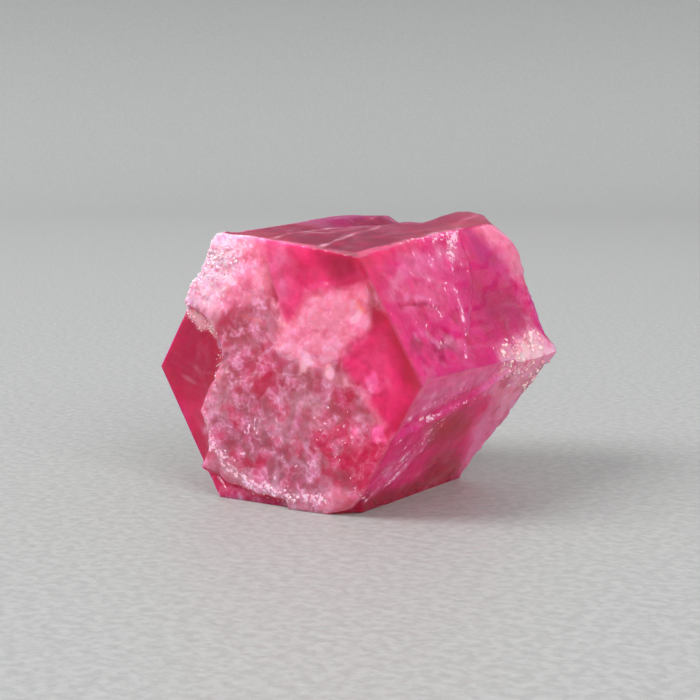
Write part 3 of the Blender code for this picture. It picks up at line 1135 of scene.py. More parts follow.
def near_end_marks() -> list[Mark]:
    """The near end: a sugary pale corner, two clear windows under a soft rim, red and white mottling.

    Returns:
        The marks in the order in which they are laid.
    """
    side = Side.NEAR
    window = (
        (-0.76, 6.95), (2.18, 6.95), (2.41, 6.11), (1.49, 5.81), (0.69, 5.67), (0.04, 4.86), (-0.48, 6.18),
    )
    wedge = (
        (2.18, 4.47), (2.87, 4.91), (3.06, 4.99), (3.47, 3.92), (3.95, 3.31),
        (3.41, 2.49), (3.03, 2.51), (2.49, 3.19), (1.8, 3.92),
    )
    corner = (
        (-2.2, 7.3), (-0.6, 6.95), (-0.48, 6.18), (-0.52, 5.64), (-1.0, 5.3), (-1.53, 5.5),
        (-2.05, 4.94), (-3.5, 4.8), (-3.6, 6.0),
    )
    pink = (
        (0.69, 5.67), (1.95, 5.77), (2.49, 5.86), (2.64, 4.9), (2.03, 4.4), (1.4, 3.69),
        (0.9, 3.8), (-0.12, 4.18), (-0.04, 4.66), (0.37, 5.02),
    )
    left_pane = ((-4.2, 3.6), (-3.1, 5.0), (-2.23, 4.45), (-2.33, 3.47), (-2.69, 2.9), (-3.6, 2.9))
    return [
        *spots(
            side, Tones.RED_PATCH, 0.42, (-0.38, 3.28), (-1.15, 1.76), (1.95, 3.01), (-0.7, 3.6),
            strength=0.5,
        ),
        *spots(
            side, Tones.RED_PATCH, 0.3, (1.79, 1.46), (1.95, 2.14), (1.16, 1.79), (1.48, 0.95),
            (0.35, 1.16),
        ),
        *spots(side, Tones.RED_PATCH, 0.55, (3.0, 1.9), (2.5, 1.2), (2.3, 2.0), strength=0.85),
        patch(side, Tones.GREY_CRUST, (-2.6, 2.8), (0.4, 2.6), (1.4, 0.9), (0.4, 0.2), (-2.4, 1.0), soft=0.8),
        *spots(side, Tones.FROST, 0.4, (0.36, 2.87), (-1.82, 2.53), (-0.2, 2.1), (1.0, 2.7), strength=0.4),
        *spots(
            side, Tones.RED_PATCH, 0.24, (-1.5, 2.35), (-2.0, 1.7), (-1.35, 1.1), (-0.6, 1.3),
            strength=0.55,
        ),
        *spots(side, Tones.RED_PATCH, 0.2, (-0.75, 0.85), (0.5, 1.75), (0.1, 0.7), (-0.1, 2.5), strength=0.5),
        patch(side, Tones.SUGAR, *corner, soft=0.3),
        patch(
            side, Tones.SUGAR_ROSE, (-1.3, 6.9), (-0.6, 6.9), (-0.5, 5.7), (-1.5, 5.2), (-1.9, 5.2),
            soft=0.5, strength=0.75,
        ),
        patch(side, Tones.SOFT_PINK, *pink, soft=0.2),
        streak(side, Tones.VEIL, 0.2, (-0.29, 4.3), (0.36, 3.95), (1.09, 3.6), (1.95, 3.5), strength=0.55),
        streak(side, Tones.VEIL, 0.14, (1.95, 3.5), (2.49, 3.19), (3.03, 2.51), strength=0.7),
        patch(side, Tones.PALE_ROSE, *window, soft=0.06),
        patch(side, Tones.RED_ROSE, (0.4, 6.9), (2.3, 6.9), (2.4, 6.0), (0.9, 5.6), (0.1, 4.9), soft=0.4),
        patch(
            side, Tones.PANE_CRIMSON, (0.9, 6.8), (2.2, 6.75), (2.38, 6.1), (1.7, 5.95), (1.3, 6.3),
            soft=0.3,
        ),
        streak(side, Tones.VEIL, 0.12, (-0.62, 6.9), (-0.5, 6.2), (-0.3, 5.3), (0.0, 4.8), strength=0.7),
        patch(side, Tones.RED_ROSE, *wedge, soft=0.28),
        patch(
            side, Tones.PALE_ROSE, (2.3, 4.3), (3.0, 4.6), (3.3, 3.9), (2.9, 3.2), (2.4, 3.5), soft=0.4,
            strength=0.4,
        ),
        streak(
            side, Tones.DEEP_CRIMSON, 0.26, (3.0, 4.9), (3.3, 4.3), (3.6, 3.8), (3.75, 3.2), (3.5, 2.6),
            strength=0.6,
        ),
        *spots(side, Tones.HOT_PINK, 0.13, (2.64, 3.59), (2.8, 3.34), (2.26, 2.24), (2.88, 2.3)),
        *spots(side, Tones.VEIL, 0.09, (2.26, 5.13), (0.69, 3.9), (1.48, 3.76)),
        Mark(side, ((2.35, 5.4), (2.45, 5.3)), Tones.PEACH, 0.05, 0.1, strength=0.7),
        Mark(side, ((-1.2, 4.92), (-0.53, 4.76)), Tones.PEACH, 0.05, 0.1, strength=0.5, broken=0.9),
        streak(side, Tones.VEIL, 0.16, (-2.96, 4.9), (-2.2, 4.6), (-1.95, 4.0), (-2.05, 3.2), strength=0.75),
        streak(side, Tones.FROST, 0.3, (-2.3, 2.4), (-2.6, 2.1), (-2.25, 1.5), (-1.6, 0.8), strength=0.8),
        streak(side, Tones.FROST, 0.3, (-1.8, 0.8), (-1.2, 0.5), (-0.3, 0.35), (0.6, 0.2), strength=0.8),
        patch(
            side, Tones.SOFT_PINK, (1.48, 0.68), (2.26, 0.71), (2.3, 0.1), (0.99, 0.02), soft=0.2,
            strength=0.7,
        ),
        patch(side, Tones.PANE_CRIMSON, *left_pane, soft=0.3, strength=0.9),
        patch(
            side, Tones.CREAM_WHITE, (-3.3, 5.1), (-2.3, 4.7), (-2.2, 4.3), (-2.7, 4.45), (-3.1, 4.72),
            soft=0.08,
        ),
        streak(side, Tones.VEIL, 0.04, (-3.8, 3.9), (-3.2, 3.55), (-2.7, 3.3), (-2.3, 3.3), strength=0.16),
        streak(side, Tones.VEIL, 0.04, (-3.6, 3.3), (-3.0, 3.0), (-2.6, 2.95), strength=0.16),
        patch(
            side, Tones.RED_PATCH, (-2.8, 0.8), (-1.5, 0.4), (0.1, 0.14), (0.4, -0.4), (-2.4, -0.4),
            soft=0.1,
        ),
        patch(
            side, Tones.BROWN_RED, (-2.9, 4.7), (-2.3, 4.4), (-2.2, 3.5), (-2.6, 3.0), (-2.9, 3.6),
            soft=0.35, strength=0.6,
        ),
        patch(
            side, Tones.RED_ROSE, (-3.6, 2.4), (-2.69, 2.59), (-2.79, 1.9), (-3.3, 1.7), soft=0.3,
            strength=0.6,
        ),
        # Painted shade: dark spots where small crevices are.
        *spots(side, Tones.CREVICE_SHADE, 0.07, (-2.73, 4.98), (-1.98, 4.12), (-1.84, 3.86), (1.98, 2.25)),
    ]


def right_face_marks() -> list[Mark]:
    """The upper right face: a red near edge, a misty middle, a white fracture, then clear magenta.

    Returns:
        The marks in the order in which they are laid.
    """
    side = Side.UPPER_RIGHT
    magenta = (
        (1.2, -0.3), (3.2, -0.3), (5.0, 1.0), (5.0, 4.3), (0.69, 4.3), (-1.6, 4.2), (-1.14, 3.4),
        (-0.6, 2.53), (-0.04, 1.42),
    )
    return [
        patch(
            side, Tones.SOFT_PINK, (-3.3, 1.35), (-0.9, 1.5), (-1.4, 2.4), (-3.2, 2.4), soft=0.7,
            strength=0.35,
        ),
        patch(
            side, Tones.RED_ROSE, (-4.2, -0.2), (-1.12, -0.2), (-1.0, 0.4), (-2.6, 0.6), (-3.9, 1.2),
            soft=0.35,
        ),
        streak(side, Tones.RED_ROSE, 0.4, (-4.1, 0.4), (-4.2, 1.8), (-4.2, 2.6), (-4.2, 4.0), strength=0.9),
        patch(
            side, Tones.LILAC, (-2.47, 0.62), (-0.32, 0.62), (-0.57, 1.22), (-2.57, 1.06), soft=0.25,
            strength=0.5,
        ),
        patch(side, Tones.MAGENTA, *magenta, soft=0.45),
        patch(
            side, Tones.DARK_MAGENTA, (0.4, 1.6), (2.6, 1.8), (2.8, 3.2), (0.3, 3.2), soft=0.7,
            strength=0.62,
        ),
        patch(
            side, Tones.VIOLET, (1.58, 0.0), (2.97, 0.5), (2.69, 1.4), (1.53, 1.15), soft=0.35,
            strength=0.55,
        ),
        patch(
            side, Tones.MAGENTA, (-1.77, 3.4), (0.69, 3.69), (0.5, 4.2), (-3.89, 4.2), soft=0.3,
            strength=0.8,
        ),
        patch(
            side, Tones.SOFT_PINK, (1.9, -0.3), (3.2, -0.3), (3.9, 1.2), (4.0, 2.4), (3.1, 1.6), soft=0.3,
            strength=0.8,
        ),
        streak(side, Tones.ROSE, 0.14, (1.5, 0.32), (0.7, 1.15), (0.3, 1.84), (-0.1, 2.42), strength=0.7),
        streak(side, Tones.LILAC, 0.24, *CROSS_FRACTURE, strength=0.4),
        streak(
            side, Tones.DARK_MAGENTA, 0.07, (-3.65, 2.07), (-2.84, 2.0), (-2.13, 2.09), (-1.74, 2.26),
            strength=0.7,
        ),
        streak(side, Tones.LILAC, 0.08, (-3.5, 1.85), (-2.8, 1.8), (-2.1, 1.9), (-1.6, 2.1), strength=0.7),
        streak(side, Tones.DARK_MAGENTA, 0.08, (-2.2, 1.4), (-1.5, 1.7), (-1.1, 2.2), strength=0.5),
        streak(side, Tones.DEEP_CRIMSON, 0.12, (-1.17, 2.6), (-0.95, 2.88), (-1.05, 3.3), strength=0.6),
        *spots(side, Tones.DARK_MAGENTA, 0.28, (-2.74, 3.3), (-3.43, 3.1), (-1.95, 3.3), strength=0.55),
        *spots(side, Tones.LILAC, 0.14, (-2.6, 3.0), (-3.2, 2.85), (-1.8, 3.05), strength=0.7),
        patch(side, Tones.CREAM, (0.3, 3.8), (1.4, 3.6), (2.6, 3.05), (3.2, 4.3), (0.2, 4.3), soft=0.4),
        patch(
            side, Tones.CREAM_WHITE, (0.9, 3.75), (1.8, 3.6), (2.2, 3.4), (2.6, 4.2), (0.9, 4.2), soft=0.2,
            strength=0.75,
        ),
    ]


def lower_right_marks() -> list[Mark]:
    """The lower right face: a glassy sunk strip, a brown-red window, a bright feather, a dark foot.

    Returns:
        The marks in the order in which they are laid.
    """
    side = Side.LOWER_RIGHT
    strip = ((-4.3, -0.3), (0.83, -0.3), (0.39, 0.9), (-1.21, 1.0), (-2.79, 1.15), (-4.3, 1.4))
    return [
        patch(side, Tones.LILAC, *strip, soft=0.2, strength=0.6),
        patch(
            side, Tones.BROWN_RED, (-2.2, 1.5), (-0.78, 1.3), (0.22, 1.87), (0.28, 2.4), (-2.0, 2.3),
            soft=0.45,
        ),
        patch(side, Tones.DARK_MAGENTA, (-1.2, 2.84), (0.22, 2.66), (1.4, 3.85), (-0.9, 4.2), soft=0.4),
        patch(side, Tones.LILAC, (0.5, 1.9), (1.4, 1.3), (3.05, 1.6), (3.0, 3.2), (1.5, 3.9), soft=0.35),
        patch(
            side, Tones.CREAM, (0.39, 0.9), (0.9, -0.3), (4.2, -0.3), (3.9, 2.0), (1.66, 1.9), soft=0.5,
            strength=0.85,
        ),
        patch(
            side, Tones.DARK_MAGENTA, (-3.9, 3.3), (-2.5, 3.5), (1.0, 3.4), (1.8, 4.3), (-4.2, 4.3),
            soft=0.3,
        ),
        patch(
            side, Tones.HOT_PINK, (-2.2, 1.7), (-1.9, 2.2), (-2.6, 3.2), (-3.7, 3.7), (-3.4, 2.5),
            strength=0.5,
        ),
        # Painted shade: a dark spot where a small crevice is.
        *spots(side, Tones.CREVICE_SHADE, 0.07, (-1.04, 3.63)),
    ]


def top_marks() -> list[Mark]:
    """The top face: mauve, violet towards the left, with painted glints as thin bright lines along its steps,
    and a dark far part.

    Returns:
        The marks in the order in which they are laid.
    """
    side = Side.TOP
    return [
        patch(
            side, Tones.VIOLET, (-1.0, -0.5), (4.5, -0.5), (3.4, 1.0), (-0.7, 0.8), soft=0.4,
            strength=0.45,
        ),
        patch(
            side, Tones.BROWN_RED, (-1.7, 4.3), (1.0, 3.3), (2.8, 3.0), (5.0, 1.5), (5.0, 4.4), soft=0.5,
            strength=0.6,
        ),
        patch(
            side, Tones.CRIMSON, (-3.9, -0.1), (-2.6, 0.1), (-3.15, 1.43), (-4.3, 2.6), soft=0.3,
            strength=0.3,
        ),
        # Painted glints: thin bright lines along the top's growth steps.
        streak(side, Tones.VEIL, 0.05, *TOP_STEP, strength=0.6),
        streak(
            side, Tones.VEIL, 0.04, (-2.73, 1.25), (-1.79, 1.89), (1.08, 1.01), (3.54, 0.85), strength=0.5,
        ),
        streak(side, Tones.VEIL, 0.05, (-4.63, 3.09), (-1.0, 2.4), (1.31, 1.54), strength=0.5),
        streak(side, Tones.SOFT_PINK, 0.1, (-4.66, 4.0), (-0.38, 4.0), (1.6, 4.0), strength=0.6),
    ]


def hidden_side_marks() -> list[Mark]:
    """The sides turned away: the same pink mist, white fractures and clear magenta areas.

    Returns:
        The marks in the order in which they are laid.
    """
    left, low, far, under = Side.UPPER_LEFT, Side.LOWER_LEFT, Side.FAR, Side.BOTTOM
    return [
        patch(
            left, Tones.MAGENTA, (-4.2, -0.2), (-1.6, -0.2), (-0.4, 2.2), (-1.8, 4.4), (-4.2, 4.4),
            soft=0.9,
        ),
        patch(
            left, Tones.SOFT_PINK, (-0.8, 0.8), (1.6, 0.5), (1.2, 2.6), (-0.3, 3.1), soft=0.5,
            strength=0.7,
        ),
        streak(left, Tones.VEIL, 0.12, *LEFT_CRACK, strength=0.6),
        streak(left, Tones.VEIL, 0.08, (1.1, 1.0), (0.2, 1.5), (-0.8, 1.4), strength=0.5),
        patch(
            left, Tones.DARK_MAGENTA, (1.6, 0.4), (4.0, 0.4), (3.6, 3.4), (1.8, 3.2), soft=0.8,
            strength=0.5,
        ),
        patch(
            left, Tones.SUGAR, (-4.2, -0.2), (-3.2, -0.2), (-3.0, 1.2), (-3.4, 2.5), (-4.2, 2.7),
            soft=0.25,
        ),
        patch(
            low, Tones.ROSE, (-4.2, -0.2), (-2.2, -0.2), (-1.0, 2.0), (-2.6, 4.4), (-4.2, 4.4), soft=0.6,
            strength=0.7,
        ),
        patch(low, Tones.LILAC, (0.6, 0.4), (2.4, 0.2), (2.6, 2.4), (1.0, 3.2), soft=0.5, strength=0.7),
        streak(low, Tones.VEIL, 0.1, *LOW_CRACK, strength=0.5),
        patch(far, Tones.SOFT_PINK, (-2.4, 4.4), (0.4, 5.9), (2.2, 4.6), (0.6, 2.9), soft=0.6, strength=0.8),
        patch(far, Tones.MAGENTA, (-2.2, 0.4), (1.4, 0.3), (2.2, 2.2), (-1.2, 2.8), soft=0.6, strength=0.8),
        streak(far, Tones.LILAC, 0.3, *FAR_CRACK, strength=0.6),
        streak(far, Tones.LILAC, 0.2, (-1.6, 5.6), (-0.4, 3.8), (-1.0, 1.6), (-0.2, 0.6), strength=0.6),
        patch(
            far, Tones.DARK_MAGENTA, (-2.9, 2.4), (-1.2, 2.0), (-0.6, 4.2), (-2.2, 5.2), soft=0.8,
            strength=0.5,
        ),
        patch(
            far, Tones.CREAM, (2.4, 1.2), (4.4, 2.6), (4.4, 4.2), (3.2, 3.8), (2.6, 2.6), soft=0.35,
            strength=0.9,
        ),
        patch(under, Tones.ROSE, (-2.6, 0.6), (1.4, 0.9), (0.8, 3.0), (-2.0, 3.3), soft=0.5, strength=0.6),
    ]


def crackle_with_glints(side: Side, centre: Pair, spread: Pair, count: int, seed: int) -> list[Mark]:
    """Short bright strokes scattered round a point: fine cracks with painted glints on them.

    Args:
        side: the side they are on.
        centre: the middle of the crowd.
        spread: how far it reaches each way, as the normal law's deviation.
        count: how many there are.
        seed: picks the crowd.

    Returns:
        The strokes.
    """
    draw = np.random.default_rng(seed)
    starts = draw.normal(centre, np.array(spread) * 0.6, (count, 2))
    turns = draw.normal(1.2, 0.7, count)
    runs = draw.uniform(0.06, 0.26, count)
    ends = starts + runs[:, None] * np.stack([-np.cos(turns), np.sin(turns)], axis=-1)
    depth = draw.uniform(0.3, 0.85, count)
    paths = zip(starts.tolist(), ends.tolist(), depth.tolist())
    return [Mark(side, (tuple(a), tuple(b)), SHARD_AND_GLINT, 0.01, 0.05, strength=k, wander=0.03) for a, b, k in paths]


def shard_and_glint_marks() -> tuple[Mark, ...]:
    """Where fractures break up, whitened and with painted glints; only how much of the mark there is counts.

    Returns:
        The marks, in no special order.
    """
    near, right, low, far = Side.NEAR, Side.UPPER_RIGHT, Side.LOWER_RIGHT, Side.FAR
    top, left = Side.TOP, Side.UPPER_LEFT
    tail = ((-0.9, 2.9), (-1.2, 3.3), (-1.45, 3.71))
    strokes = [tuple((y + 0.28 * k, b + 0.1 * k) for y, b in FEATHER) for k in (-1, 0, 1)]
    return (
        Mark(right, CROSS_FRACTURE, SHARD_AND_GLINT, 0.04, 0.09, strength=0.8, broken=0.8),
        Mark(right, CROSS_FRACTURE[:3], SHARD_AND_GLINT, 0.1, 0.22, strength=0.7, broken=0.6),
        *crackle_with_glints(right, (0.2, 0.7), (0.9, 0.6), 26, 5),
        *crackle_with_glints(right, (-0.9, 0.5), (0.5, 0.4), 14, 6),
        *crackle_with_glints(right, (-1.0, 2.2), (1.0, 0.9), 22, 7),
        *crackle_with_glints(right, (-2.9, 2.6), (0.9, 0.8), 16, 8),
        *crackle_with_glints(low, (-1.6, 1.3), (1.6, 0.5), 22, 9),
        *crackle_with_glints(low, (-2.9, 2.7), (0.7, 0.7), 16, 10),
        *crackle_with_glints(near, (2.0, 1.6), (0.5, 0.8), 16, 11),
        *crackle_with_glints(near, (-0.8, 1.6), (1.2, 0.9), 26, 12),
        Mark(
            right, ((-1.2, 0.1), (-0.2, 0.2), (0.5, 0.1), (1.0, 0.05)), SHARD_AND_GLINT, 0.06, 0.25, strength=0.75,
            broken=0.5,
        ),
        Mark(right, ((0.4, 0.1), (0.25, 0.6), (-0.15, 0.9)), SHARD_AND_GLINT, 0.1, 0.25, strength=0.6, broken=0.4),
        Mark(right, tail, SHARD_AND_GLINT, 0.04, 0.1, strength=0.5, broken=0.7),
        Mark(right, BRANCH, SHARD_AND_GLINT, 0.03, 0.08, strength=0.6, broken=0.7),
        Mark(right, ((-2.1, 0.1), (-1.5, 0.9)), SHARD_AND_GLINT, 0.05, 0.3, strength=0.35, broken=0.6),
        Mark(right, ((-3.3, 3.2), (-2.6, 3.05), (-1.8, 3.2)), SHARD_AND_GLINT, 0.05, 0.3, strength=0.3, broken=0.6),
        *(Mark(low, stroke, SHARD_AND_GLINT, 0.04, 0.1, strength=0.7, broken=0.7) for stroke in strokes),
        Mark(low, ((-3.46, 1.27), (-2.31, 1.35), (-1.21, 1.09), (0.12, 0.98)), SHARD_AND_GLINT, 0.03, 0.08, broken=0.7),
        Mark(low, ((-2.9, 0.98), (-2.0, 0.9), (-1.3, 0.5)), SHARD_AND_GLINT, 0.06, 0.2, strength=0.5, broken=0.6),
        Mark(near, ((-3.7, 3.5), (-3.0, 3.3), (-2.4, 3.1)), SHARD_AND_GLINT, 0.02, 0.08, strength=0.2, broken=0.5),
        Mark(near, ((-2.16, 0.55), (-1.9, 0.2)), SHARD_AND_GLINT, 0.02, 0.04),
        Mark(
            near, ((-2.3, 1.5), (-1.5, 0.7), (-0.9, 0.45), (0.3, 0.35), (1.2, 0.4)), SHARD_AND_GLINT, 0.15, 0.3,
            strength=0.5,
        ),
        Mark(near, ((1.0, 2.5), (1.8, 2.1), (2.4, 2.2)), SHARD_AND_GLINT, 0.2, 0.5, strength=0.3, broken=0.7),
        Mark(near, ((-1.8, 3.4), (-0.6, 2.2), (0.8, 1.2)), SHARD_AND_GLINT, 0.3, 1.2, strength=0.22, broken=0.5),
        patch(
            near, SHARD_AND_GLINT, (-2.4, 7.2), (-1.0, 7.1), (-1.2, 6.0), (-2.0, 5.2), (-3.3, 5.0), strength=0.6,
            soft=0.4,
        ),
        Mark(top, TOP_STEP, SHARD_AND_GLINT, 0.02, 0.06, strength=0.5, broken=0.8),
        Mark(left, LEFT_CRACK, SHARD_AND_GLINT, 0.06, 0.2, strength=0.5, broken=0.8),
        Mark(far, FAR_CRACK, SHARD_AND_GLINT, 0.05, 0.35, strength=0.4, broken=0.8),
    )


def all_marks() -> tuple[Mark, ...]:
    """Every mark, in the order in which they are laid."""
    groups = (near_end_marks, right_face_marks, lower_right_marks, top_marks, hidden_side_marks)
    return tuple(mark for group in groups for mark in group())


@dataclass
class Paint:
    """Colour, cloudiness and roughness at each point of the surface, laid on mark by mark."""

    form: CrystalForm
    shape: Surface
    colour: Array = field(init=False)
    cloud: Array = field(init=False)
    rough: Array = field(init=False)
    # Where fractures whiten and the shader paints glints on them.
    shards_and_glints: Array = field(init=False)

    def __post_init__(self) -> None:
        """Starts blank."""
        size = self.shape.flat.shape[:2]
        self.shards_and_glints = np.zeros(size)
        self.colour = np.ones(size + (3,))
        self.cloud = np.zeros(size)
        self.rough = np.zeros(size)

    def where(self, side: Side) -> tuple[Array, Array, Array]:
        """Which points are on a side, and their two coordinates there.

        Args:
            side: the side.

        Returns:
            A mask over the grid, and the first and second coordinates of the points in it.
        """
        region = self.shape.region[:, None]
        if side in (Side.NEAR, Side.FAR):
            part = Region.NEAR_END if side is Side.NEAR else Region.FAR_BREAK
            mask = np.broadcast_to(region == part.value, self.cloud.shape)
            return mask, self.shape.flat[mask][:, 0], self.shape.flat[mask][:, 2]
        index = self.form.face_number(side)
        mask = (region == Region.SIDES.value) & (self.shape.face_index == index)[None, :]
        y, across = self.form.on_face(side, self.shape.flat[mask])
        return mask, y, across

    def cell_area(self) -> Array:
        """The area of surface round each grid point: the product of its steps down and across.

        Returns:
            One area for each point of the grid, in square millimetres.
        """
        down = np.gradient(self.shape.flat, axis=0)
        across = 0.5 * (np.roll(self.shape.flat, -1, axis=1) - np.roll(self.shape.flat, 1, axis=1))
        return np.linalg.norm(np.cross(down, across), axis=-1)

    def lay(self, mask: Array, share: Array, tone: Tone) -> None:
        """Lays a tone over the points of a mask.

        Args:
            mask: the points.
            share: how much of the tone there is at each.
            tone: the tone.
        """
        self.colour[mask] += share[:, None] * (np.array(linear(tone.colour)[:3]) - self.colour[mask])
        self.cloud[mask] += share * (tone.cloud - self.cloud[mask])
        self.rough[mask] += share * (tone.rough - self.rough[mask])

    def lay_marks(self, marks: Sequence[Mark]) -> None:
        """Lays marks in order.

        Args:
            marks: the marks.
        """
        for mark in marks:
            mask, a, b = self.where(mark.side)
            self.lay(mask, mark.cover(a, b, self.shape.flat[mask]), mark.tone)

    def scatter_shards_and_glints(self, marks: Sequence[Mark]) -> None:
        """Keeps the strongest of the marks' cover at each point.

        Args:
            marks: the marks.
        """
        for mark in marks:
            mask, a, b = self.where(mark.side)
            self.shards_and_glints[mask] = np.maximum(self.shards_and_glints[mask], mark.cover(a, b, self.shape.flat[mask]))


# ---------------------------------------------------------------- the crystal


@dataclass(frozen=True)
class BerylFinish:
    """Red beryl: clear and absorbing where it is clean, milky where it is fractured or crusted, with painted
    glints on its fractures.
    """

    ior: float = 1.57
    absorption_colour: Triple = (0.985, 0.08, 0.66)
    absorption_density: float = 900.0
    clear_tint: Triple = (1.0, 0.88, 0.94)
    scatter_depth: float = 0.6
    scatter_colour: Triple = (1.0, 0.32, 0.5)
    gloss: float = 0.12
    glow_share: float = 0.2
    glow_colour: Triple = (1.0, 0.22, 0.52)
    mist_colour: Triple = (1.0, 0.62, 0.82)
    vein_colour: Triple = (0.98, 0.74, 0.88)
    stain_colour: Triple = (0.74, 0.02, 0.32)
    # The colour of the fractures' milky whitening and of their painted glints.
    shard_and_glint_colour: Triple = (1.0, 0.82, 0.91)
    mottle_size: float = 0.5
    tooth: float = 0.1
    flake: float = 0.08
    drawn_out: Triple = (1.0, 0.4, 0.8)

    def material(self) -> bpy.types.Material:
        """A mix of a clear shader and a cloudy one, by the mesh's own Cloud attribute and noise.

        Returns:
            The material.
        """
        tree = Tree("red_beryl")
        place = tree.place()
        rough, cloud, shards_and_glints = (tree.attribute(name) for name in ("Rough", "Cloud", "ShardsAndGlints"))
        mottle = tree.noise(place, self.mottle_size, 4.0, 0.6)
        bent = tree.warped(place, 0.3, 0.22)
        # Painted glints: random tiny cells along the fractures turn near white in the painted colour, over
        # the fractures' own milky whitening.
        glints = (shards_and_glints * 1.15 - tree.flakes(tree.warped(place, 0.15, 0.1), self.flake)).ramped(0.0, 0.12)
        milky_and_glint = (glints * 0.75 + shards_and_glints * 0.25).smaller(1.0)
        tint = tree.node("ShaderNodeAttribute", {"attribute_name": "Tint"}, {}).outputs["Color"]
        stained = self.mottled(tree, tint, cloud, mottle, bent)
        painted = tree.mix(milky_and_glint, stained, linear(self.shard_and_glint_colour))
        relief = tree.bump(tree.noise(place, self.tooth, 2.0) * 0.5 + mottle * 0.5, 0.045, 0.45)
        shared = {"IOR": self.ior, "Specular IOR Level": self.gloss, "Normal": relief}
        clear = {"Base Color": linear(self.clear_tint), "Roughness": rough, "Transmission Weight": 1.0}
        milky = {"Base Color": painted, "Roughness": rough + 0.08, "Subsurface Weight": 1.0}
        depth = {"Subsurface Radius": self.scatter_colour, "Subsurface Scale": self.scatter_depth * MM}
        glow = tree.shader("BsdfTranslucent", {"Color": linear(self.glow_colour), "Normal": relief})
        body = tree.shader("BsdfPrincipled", {**milky, **depth, **shared})
        cloudy = tree.shader("MixShader", {0: self.glow_share, 1: body, 2: glow})
        factor = (cloud + (mottle - 0.5) * 0.5 + milky_and_glint).larger(0.0).smaller(1.0)
        glass = tree.shader("BsdfPrincipled", {**clear, **shared})
        absorb = {"Color": linear(self.absorption_colour), "Density": self.absorption_density}
        tree.links.new(tree.shader("VolumeAbsorption", absorb), tree.output.inputs["Volume"])
        return tree.finished(tree.shader("MixShader", {0: factor, 1: glass, 2: cloudy}))

    def mottled(
        self,
        tree: Tree,
        tint: bpy.types.NodeSocket,
        cloud: Value,
        mottle: Value,
        bent: bpy.types.NodeSocket,
    ) -> bpy.types.NodeSocket:
        """The painted tint with mist, long wisps, fine threads and dark stains, most where it is cloudy.

        Args:
            tree: the material's tree.
            tint: the painted colour.
            cloud: the painted cloudiness.
            mottle: soft noise.
            bent: coordinates moved about by fine noise.

        Returns:
            The colour.
        """
        place = tree.place()
        crust, haze = cloud.ramped(0.62, 0.85), cloud.ramped(0.56, 0.67)
        long_place = tree.vector("MULTIPLY", tree.warped(place, 1.8, 0.9), self.drawn_out)
        patches = tree.noise(place, 1.2, 2.0).ramped(0.42, 0.62)
        wisps = tree.veins(long_place, 0.8, 0.09) * (0.1 + 0.9 * haze) * patches
        threads = tree.veins(bent, 0.3, 0.05) * crust * mottle.ramped(0.35, 0.6)
        mist = mottle.ramped(0.42, 0.72) * (0.1 * haze + 0.3 * crust)
        pale = tree.mix(mist, tint, linear(self.mist_colour))
        veined = tree.mix((wisps * 0.3 + threads * 0.5).smaller(1.0), pale, linear(self.vein_colour))
        deep = tree.noise(bent, 0.45, 3.0).ramped(0.46, 0.7) * (0.4 + 0.1 * crust)
        return tree.mix(deep, veined, linear(self.stain_colour))


@dataclass
class Crystal:
    """The crystal itself: one closed body with its crust, terraces and break."""

    form: CrystalForm
    frame: Frame
    finish: BerylFinish = BerylFinish()
    sharp_angle: float = 38.0
    bases: dict[Side, Tone] = field(
        default_factory=lambda: {
            Side.NEAR: Tones.CRUST,
            Side.FAR: Tones.ROSE,
            Side.UPPER_RIGHT: Tones.ROSE,
            Side.TOP: Tones.MAUVE,
            Side.UPPER_LEFT: Tones.ROSE,
            Side.LOWER_LEFT: Tones.MAGENTA,
            Side.BOTTOM: Tones.DARK_MAGENTA,
            Side.LOWER_RIGHT: Tones.ROSE,
        }
    )
    marks: tuple[Mark, ...] = field(default_factory=all_marks)

    def paint(self, shape: Surface) -> Paint:
        """The base tone of each side, the clear panes of the near end, then the marks.

        Args:
            shape: the finished surface.

        Returns:
            The paint.
        """
        paint = Paint(self.form, shape)
        for side, tone in self.bases.items():
            mask, a, _ = paint.where(side)
            paint.lay(mask, np.ones(a.shape), tone)
        mask, _, _ = paint.where(Side.NEAR)
        paint.lay(mask, 1.0 - self.form.crust_cover(shape.flat[mask]), Tones.CRIMSON)
        paint.lay_marks(self.marks)
        paint.scatter_shards_and_glints(shard_and_glint_marks())
        return paint

    def build(self, shape: Surface, paint: Paint) -> bpy.types.Object:
        """Puts the surface and its paint into a mesh and dresses it.

        Args:
            shape: the finished surface.
            paint: its paint.

        Returns:
            The piece.
        """
        rows, columns = shape.points.shape[:2]
        poles = np.array([shape.points[0].mean(0), shape.points[-1].mean(0)])
        points = np.concatenate([shape.points.reshape(-1, 3), poles])
        faces, sizes = closed_grid(rows, columns, 2)
        piece = put_mesh("crystal_surface", self.frame.place(points), faces, sizes)
        piece.data.shade_smooth()
        piece.data.set_sharp_from_angle(angle=math.radians(self.sharp_angle))
        self.put_paint(piece.data, paint)
        return join_model(piece, self.finish.material())

    @staticmethod
    def put_paint(mesh: bpy.types.Mesh, paint: Paint) -> None:
        """Stores the paint as attributes of the mesh's points; each pole takes its row's mean.

        Args:
            mesh: the crystal's mesh.
            paint: the paint.
        """
        numbers = {"Cloud": paint.cloud, "Rough": paint.rough, "ShardsAndGlints": paint.shards_and_glints}
        for name, values in numbers.items():
            whole = np.concatenate([values.ravel(), [values[0].mean(), values[-1].mean()]])
            stored = mesh.attributes.new(name, "FLOAT", "POINT")
            stored.data.foreach_set("value", whole.astype(np.float32))
        poles = [paint.colour[0].mean(0), paint.colour[-1].mean(0)]
        colours = np.concatenate([paint.colour.reshape(-1, 3), poles])
        opaque = np.concatenate([colours, np.ones((len(colours), 1))], axis=1).astype(np.float32)
        mesh.attributes.new("Tint", "FLOAT_COLOR", "POINT").data.foreach_set("color", opaque.ravel())


# ---------------------------------------------------------------- grains on the surface


